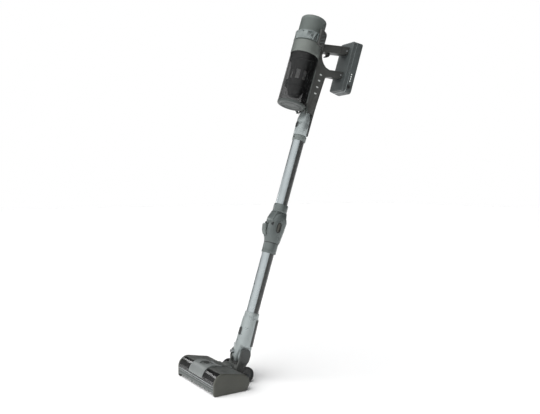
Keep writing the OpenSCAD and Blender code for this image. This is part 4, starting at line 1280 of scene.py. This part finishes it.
cover_w = head_box("centre_cover")[1][0]
cover = ribbon("centre_cover_skin", [((-77.5, 38), cover_w, 1.2), ((-74, 49), cover_w, 1.8),
                                     ((-62, 61), cover_w - 1, 4.2),
                                     ((-46, 65), cover_w - 3, 6.0), ((-30, 62), cover_w - 8, 6.0),
                                     ((-14, 58.5), cover_w - 16, 2.4),
                                     ((-6, 57), cover_w - 20, 1.0)], shoulder=1.4, sink=1.0)
recess = prism(new(), rounded([(-16, -61, 4), (16, -61, 4), (20, -29, 5), (-20, -29, 5)]), 66.6, 90, "z")
carve(cover, [finish_mesh("cut_recess", recess, HEAD)])
soften(cover, 0.6, 2, 50)
bake(cover, 34)
piece(cover, "cover", "head", ["centre_cover"])
# A black tray at the floor of the recess: painted shadow under the raised slider
rings = [level(rounded([(-16 + k, -61 + k, 4), (16 - k, -61 + k, 4), (20 - k, -29 - k, 5),
                        (-20 + k, -29 - k, 5)], 3, 6), z)
          for k, z in ((0.2, 65.8), (0.2, 67.2), (1.6, 67.2), (2.4, 66.4))]
add("cover_recess_shadow_tray", loft(new(), rings), "black", "head", place=HEAD)
s_lo, s_hi = head_box("cover_slider")
bm = new()
w, d, y0 = (s_hi[0] - s_lo[0]) / 2, (s_hi[1] - s_lo[1]) / 2, (s_lo[1] + s_hi[1]) / 2
rings = [level(rounded(box2d(-w + k, y0 - d + k, w - k, y0 + d - k, 3), 3, 6), z)
          for k, z in ((0.0, s_hi[2] - 3.3), (0.0, s_hi[2] - 0.9), (0.4, s_hi[2] - 0.25),
                       (1.2, s_hi[2] - 0.1), (2.2, s_hi[2] - 0.7))]
loft(bm, rings)
for i in range(-1, 2):
    prism(bm, rounded(box2d(-7.5, y0 + i * 3 - 0.55, 7.5, y0 + i * 3 + 0.55), 0.4, 3),
          s_hi[2] - 1.2, s_hi[2] - 0.1, "z")
add("cover_slider_cap", bm, "charcoal", "cover_slider", ["cover_slider"], place=HEAD)
plate = ribbon("top_plate", [((-9, 57.5), 27, 1.4), ((2, 55), 28, 2.4), ((12, 53), 33, 2.6),
                             ((24, 48), 42, 2.4), ((33, 41), 47, 1.2),
                             ((38, 32), 48, 0.6)], shoulder=1.0, sink=2.0)
piece(soften(plate, 0.4, 2, 50), "dark", "head")
rim = ribbon("top_plate_rim", [((-9, 57.5), 28.4, 0.7), ((2, 55), 29.6, 0.9), ((12, 53), 34.8, 0.9),
                               ((24, 48), 44.2, 0.9), ((33, 41), 49.4, 0.6),
                               ((38, 32), 50.2, 0.4)], shoulder=0.6, sink=2.0)
piece(rim, "charcoal", "head")
for x, y, z in ((-28, -9, 58.9), (28, -9, 58.9), (-36, 24, 51.9), (36, 24, 51.9)):
    screw("plate_screw_%d_%d" % (x + 50, y + 10), (x, y, z), (0, 0.22, 0.975), 4.4, "head", HEAD, "silver")

# Hood over the head's swivel socket
rings = [[(p[0], y, roll_z + p[1]) for p in arc(0, 0, r, 4, 176, 40) + arc(0, 0, 21.5, 176, 4, 40)]
          for y, r in ((13, 24.0), (15, 27.5), (19, 29.6), (25, 30.4), (31, 30.2), (36, 28.6), (39.5, 26.2),
                       (41, 24.0))]
add("swivel_hood", loft(new(), rings), "dark", "head", place=HEAD, angle=40)

# End caps: the head's outline with a soft edge, a recessed face line and a screw
outline = [(y, z) for y, z, ny, nz in head_path()]
outline += [(TAIL[0] + TAIL_R * math.cos(math.radians(a)),
             TAIL[1] + TAIL_R * math.sin(math.radians(a))) for a in range(-8, -90, -8)]
outline = [p for p in outline if p[1] >= 0.2]
outline = hull2d(outline + [(x, 0.2) for x in (-71, 12)] + arc(NOSE[0] - NOSE_R + 6, 6.2, 6, 180, 268,
                                                               8) + [(12, 0.2)])


def inset(points, k):
    """Draws a closed outline in towards its middle by about k."""
    out = []
    n = len(points)
    for i in range(n):
        a, b = Vector(points[i - 1]), Vector(points[(i + 1) % n])
        t = (b - a).normalized()
        out.append((points[i][0] - t.y * k, points[i][1] + t.x * k))
    return out


for sgn in (-1, 1):
    tag = side_tag(sgn)
    rings = [level(inset(outline, k), sgn * x, "x")
              for k, x in ((3.0, CAP_X), (0.4, CAP_X), (0.0, CAP_X + 0.5), (0.0, HALF_W - 3.2),
                           (0.35, HALF_W - 1.8), (1.2, HALF_W - 0.7), (2.4, HALF_W - 0.2), (4.6, HALF_W))]
    add("end_cap_skin_" + tag, loft(new(), rings), "olive", "head", ["end_cap_" + tag], place=HEAD, angle=50)
    screw("end_cap_screw_" + tag, (sgn * (HALF_W - 0.75), 20, 15), (sgn, 0, 0), 2.6, "head", HEAD, "charcoal")
    bm = new()
    lathe(bm, box2d(7.2, sgn * 105.5, 9.8, sgn * (CAP_X + 0.4)),
          (brush_y, brush_z), 48, "x")
    add("bearing_boss_" + tag, bm, "dark", "head", place=HEAD)

# Front rails and the scalloped bumper
for name, z0, z1, depth, mat in (("front_rail_upper", 29.2, 31.6, 2.4, "silver"),
                                 ("front_rail_lower", 22.6, 25.4, 2.4, "cover")):
    fy = NOSE[0] - NOSE_R + 0.1
    bm = prism(new(), rounded(box2d(fy, z0, fy + depth, z1), 0.9, 4), -CAP_X - 0.2, CAP_X + 0.2)
    add(name, bm, mat, "head", place=HEAD)
fy = NOSE[0] - NOSE_R + 0.1
bm = prism(new(), rounded(box2d(fy + 1.6, 19.5, fy + 3.2, 34.4), 0.3, 2), -CAP_X, CAP_X)
add("front_rail_channel", bm, "black", "head", place=HEAD)
rings = []
BUMPER_STEPS, SCALLOPS = 224, 8
for k in range(BUMPER_STEPS + 1):
    x = -CAP_X + 2 * CAP_X * k / BUMPER_STEPS
    wave = abs(math.sin(math.pi * (x + CAP_X) / (2 * CAP_X / SCALLOPS)))
    low = 6.2 + 4.2 * wave ** 0.7
    rings.append([(x, fy + 0.9, 21.2), (x, fy + 0.2, 20.2), (x, fy + 0.1, low + 3.4),
                  (x, fy + 0.5, low + 1.0), (x, fy + 1.6, low),
                  (x, fy + 3.4, low), (x, fy + 4.2, low + 1.0), (x, fy + 4.2, 21.2)])
add("front_bumper_skin", loft(new(), rings), "bumper", "head", ["front_bumper"], place=HEAD, angle=40)

# Brush roller with wound bristle rows
bm = lathe(new(), [(0, -103.8), (16, -103.8), (18.6, -102.6), (19, -101), (19, 101), (18.6, 103), (16, 103.8),
                   (0, 103.8)],
           (brush_y, brush_z), 64, "x", closed=False)
for a, b in ((-111, -103.8), (103.8, 111)):
    bar(bm, 3.0, a, b, 24, (brush_y, brush_z))
add("brush_core", bm, "black", "brush", ["brush_roller"], place=HEAD)
for kind in (0, 1):
    bm = new()
    for row in range(3):
        rings = []
        for k in range(81):
            x = -93 + 194 * k / 80
            a = math.radians(60 * kind + 120 * row + 140 * k / 80 - 20)
            outer = (28.2 if kind == 0 else 26.2) + 0.35 * noise.noise(Vector((x * 0.35, row * 7.0, kind)))
            ring = []
            for r, w in ((18.2, -2.6), (22, -2.3), (outer - 0.6, -1.9), (outer, -1.2), (outer, 1.2),
                         (outer - 0.6, 1.9), (22, 2.3), (18.2, 2.6)):
                ring.append((x, *turned(r, w, a, (brush_y, brush_z))))
            rings.append(ring)
        loft(bm, rings)
    name = "bristle_rows" if kind == 0 else "soft_rows"
    add(name, bm, "pile" if kind == 0 else "black", "brush", ["brush_bristles"] if kind == 0 else (),
        place=HEAD, angle=50)

# Rear wheels
for sgn in (-1, 1):
    tag = side_tag(sgn)
    hub = [c / MM for c in joints["wheel_spin_" + tag]["pos_m"]]
    w = 7.0
    wr = head_box("rear_wheel_" + tag)[1][2] - hub[2]
    prof = [(wr - 6.6, -w + 0.9), (wr - 5.4, -w + 0.1), (wr - 3.4, -w), (wr - 1.4, -w + 0.7),
            (wr - 0.3, -w + 2.2)]
    for g in (-2.2, 0.2, 2.6):
        prof += [(wr, g - 1.0), (wr - 0.5, g - 0.6), (wr - 0.5, g - 0.1), (wr, g + 0.3)]
    prof += [(wr - 0.3, w - 2.2), (wr - 1.4, w - 0.7), (wr - 3.4, w), (wr - 5.4, w - 0.1),
             (wr - 6.6, w - 0.9), (wr - 7.0, w - 3), (wr - 7.0, -w + 3)]
    bm = lathe(new(), [(r, hub[0] + x) for r, x in prof], (hub[1], hub[2]), 96, "x")
    add("wheel_tyre_" + tag, bm, "rubber", "rear_wheel_" + tag, ["rear_wheel_" + tag], place=HEAD)
    prof = [(3.1, -w + 2), (9.0, -w + 2), (9.8, -w + 2.6), (11.0, -w + 4), (wr - 8, -w + 4),
            (wr - 7.2, -w + 2.6), (wr - 6.8, -w + 2.6), (wr - 6.8, w - 2.6),
            (wr - 7.2, w - 2.6), (wr - 8, w - 4), (11.0, w - 4), (9.8, w - 2.6), (9.0, w - 2), (3.1, w - 2)]
    bm = lathe(new(), [(r, hub[0] + x) for r, x in prof], (hub[1], hub[2]), 72, "x")
    add("wheel_hub_" + tag, bm, "charcoal", "rear_wheel_" + tag, place=HEAD)

# ---------------------------------------------------------------- CAD nodes that stay, with their finish
# The charcoal conduits down the backs of the tubes stand for the dark band on the tubes' right side: painted
# shade
CARRIED = {
    "head_shell": "dark", "sole_plate": "charcoal", "glide_strip": "glide", "front_window": "window",
    "brush_motor": "steel", "motor_pulley": "brass", "roller_pulley": "brass", "drive_belt": "belt",
    "roller_bearings": "steel", "wheel_axles": "gunmetal", "sole_roller_left": "charcoal",
    "sole_roller_right": "charcoal", "yoke_ring": "steel", "pitch_pins": "steel", "lower_tube": "tube",
    "lower_conduit": "charcoal", "fold_pins": "steel", "upper_tube": "tube", "upper_conduit": "charcoal",
    "hepa_filter": "filter", "suction_motor": "steel", "impeller": "mid", "cyclone_body": "inner",
    "mesh_screen": "screen", "battery_cells": "cell",
}
for node, mat in CARRIED.items():
    nodes[node].data.materials.clear()
    nodes[node].data.materials.append(MATS[mat])

# ---------------------------------------------------------------- floor, light and camera
floor = bpy.data.objects.new("floor", bpy.data.meshes.new("floor"))
bm = new()
bmesh.ops.create_grid(bm, x_segments=2, y_segments=2, size=14)
bm.to_mesh(floor.data)
bm.free()
bpy.context.scene.collection.objects.link(floor)
pale = Nodes("pale_floor")
cloud = pale.noise(1.5, 2, 0.5)
pale.link(pale.ramp(cloud, "Fac", [(0.3, (0.965, 0.965, 0.965, 1)), (0.7, (0.975, 0.975, 0.975, 1))]),
          "Color", pale.bsdf, "Base Color")
pale.set(Roughness=0.85)
floor.data.materials.append(pale.mat)

world_bg = bpy.data.worlds.new("studio")
bpy.context.scene.world = world_bg
world_bg.use_nodes = True
tree = world_bg.node_tree
tree.nodes.clear()


def wn(kind, **props):
    n = tree.nodes.new(kind)
    for k, v in props.items():
        setattr(n, k, v)
    return n


out, mixer, path = wn("ShaderNodeOutputWorld"), wn("ShaderNodeMixShader"), wn("ShaderNodeLightPath")
seen, lit = wn("ShaderNodeBackground"), wn("ShaderNodeBackground")
seen.inputs["Color"].default_value = (1.0, 1.0, 1.0, 1)
coord, dot, ramp = wn("ShaderNodeTexCoord"), wn("ShaderNodeVectorMath",
                                                operation="DOT_PRODUCT"), wn("ShaderNodeValToRGB")
SENSOR_MM, LENS_MM = 36, 40.8
cam_at = Vector((1.7075, -0.9256, 0.6325))
back = Vector((0.83554, -0.54812, 0.03798)).normalized()
right = Vector((0.54846, 0.83618, 0.00180)).normalized()
soft = (back * math.cos(math.radians(38)) - right * math.sin(math.radians(38)) + Vector((0, 0,
                                                                                         0.25))).normalized()
dot.inputs[1].default_value = soft
for e, (p, c) in zip([ramp.color_ramp.elements[0],
                      ramp.color_ramp.elements[1]] + [ramp.color_ramp.elements.new(0.5) for _ in range(2)],
                     [(0.0, 0.05), (1.0, 1.35), (0.50, 0.10), (0.78, 0.75)]):
    e.position, e.color = p, (c, c * 1.005, c * 1.01, 1)
half = wn("ShaderNodeMath", operation="MULTIPLY_ADD")
half.inputs[1].default_value = 0.5
half.inputs[2].default_value = 0.5
for a, o, b, i in ((coord, "Generated", dot, 0), (dot, "Value", half, 0), (half, 0, ramp, "Fac"),
                   (ramp, "Color", lit, "Color"),
                   (path, "Is Camera Ray", mixer, 0), (lit, 0, mixer, 1), (seen, 0, mixer, 2),
                   (mixer, 0, out, "Surface")):
    tree.links.new(a.outputs[o], b.inputs[i])

sun = bpy.data.lights.new("soft_sun", "SUN")
sun.energy, sun.angle = 2.9, math.radians(78)
sun_ob = bpy.data.objects.new("soft_sun", sun)
sun_ob.rotation_euler = (back * 0.50 - right * 0.72 + Vector((0, 0, 1.0))).to_track_quat("Z", "Y").to_euler()
sun_ob.visible_glossy = False
bpy.context.scene.collection.objects.link(sun_ob)

strip = bpy.data.lights.new("side_strip", "AREA")
strip.shape, strip.size, strip.size_y, strip.energy = "RECTANGLE", 0.9, 0.22, 1.8
strip_ob = bpy.data.objects.new("side_strip", strip)
strip_ob.location = (-1.7, -0.5, 1.05)
strip_ob.rotation_euler = (Vector(strip_ob.location) - Vector((0, -0.05, 0.05))).to_track_quat("Z",
                                                                                               "Y").to_euler()
bpy.context.scene.collection.objects.link(strip_ob)

cam = bpy.data.cameras.new("camera")
cam.sensor_width = SENSOR_MM
cam.lens = LENS_MM
cam.clip_start = 0.05
cam_ob = bpy.data.objects.new("camera", cam)
up = back.cross(right)
turn = Matrix((right, up, back)).transposed().to_4x4()
cam_ob.matrix_world = Matrix.Translation(cam_at) @ turn
bpy.context.scene.collection.objects.link(cam_ob)
bpy.context.scene.camera = cam_ob
bpy.context.scene.view_settings.view_transform = "Standard"
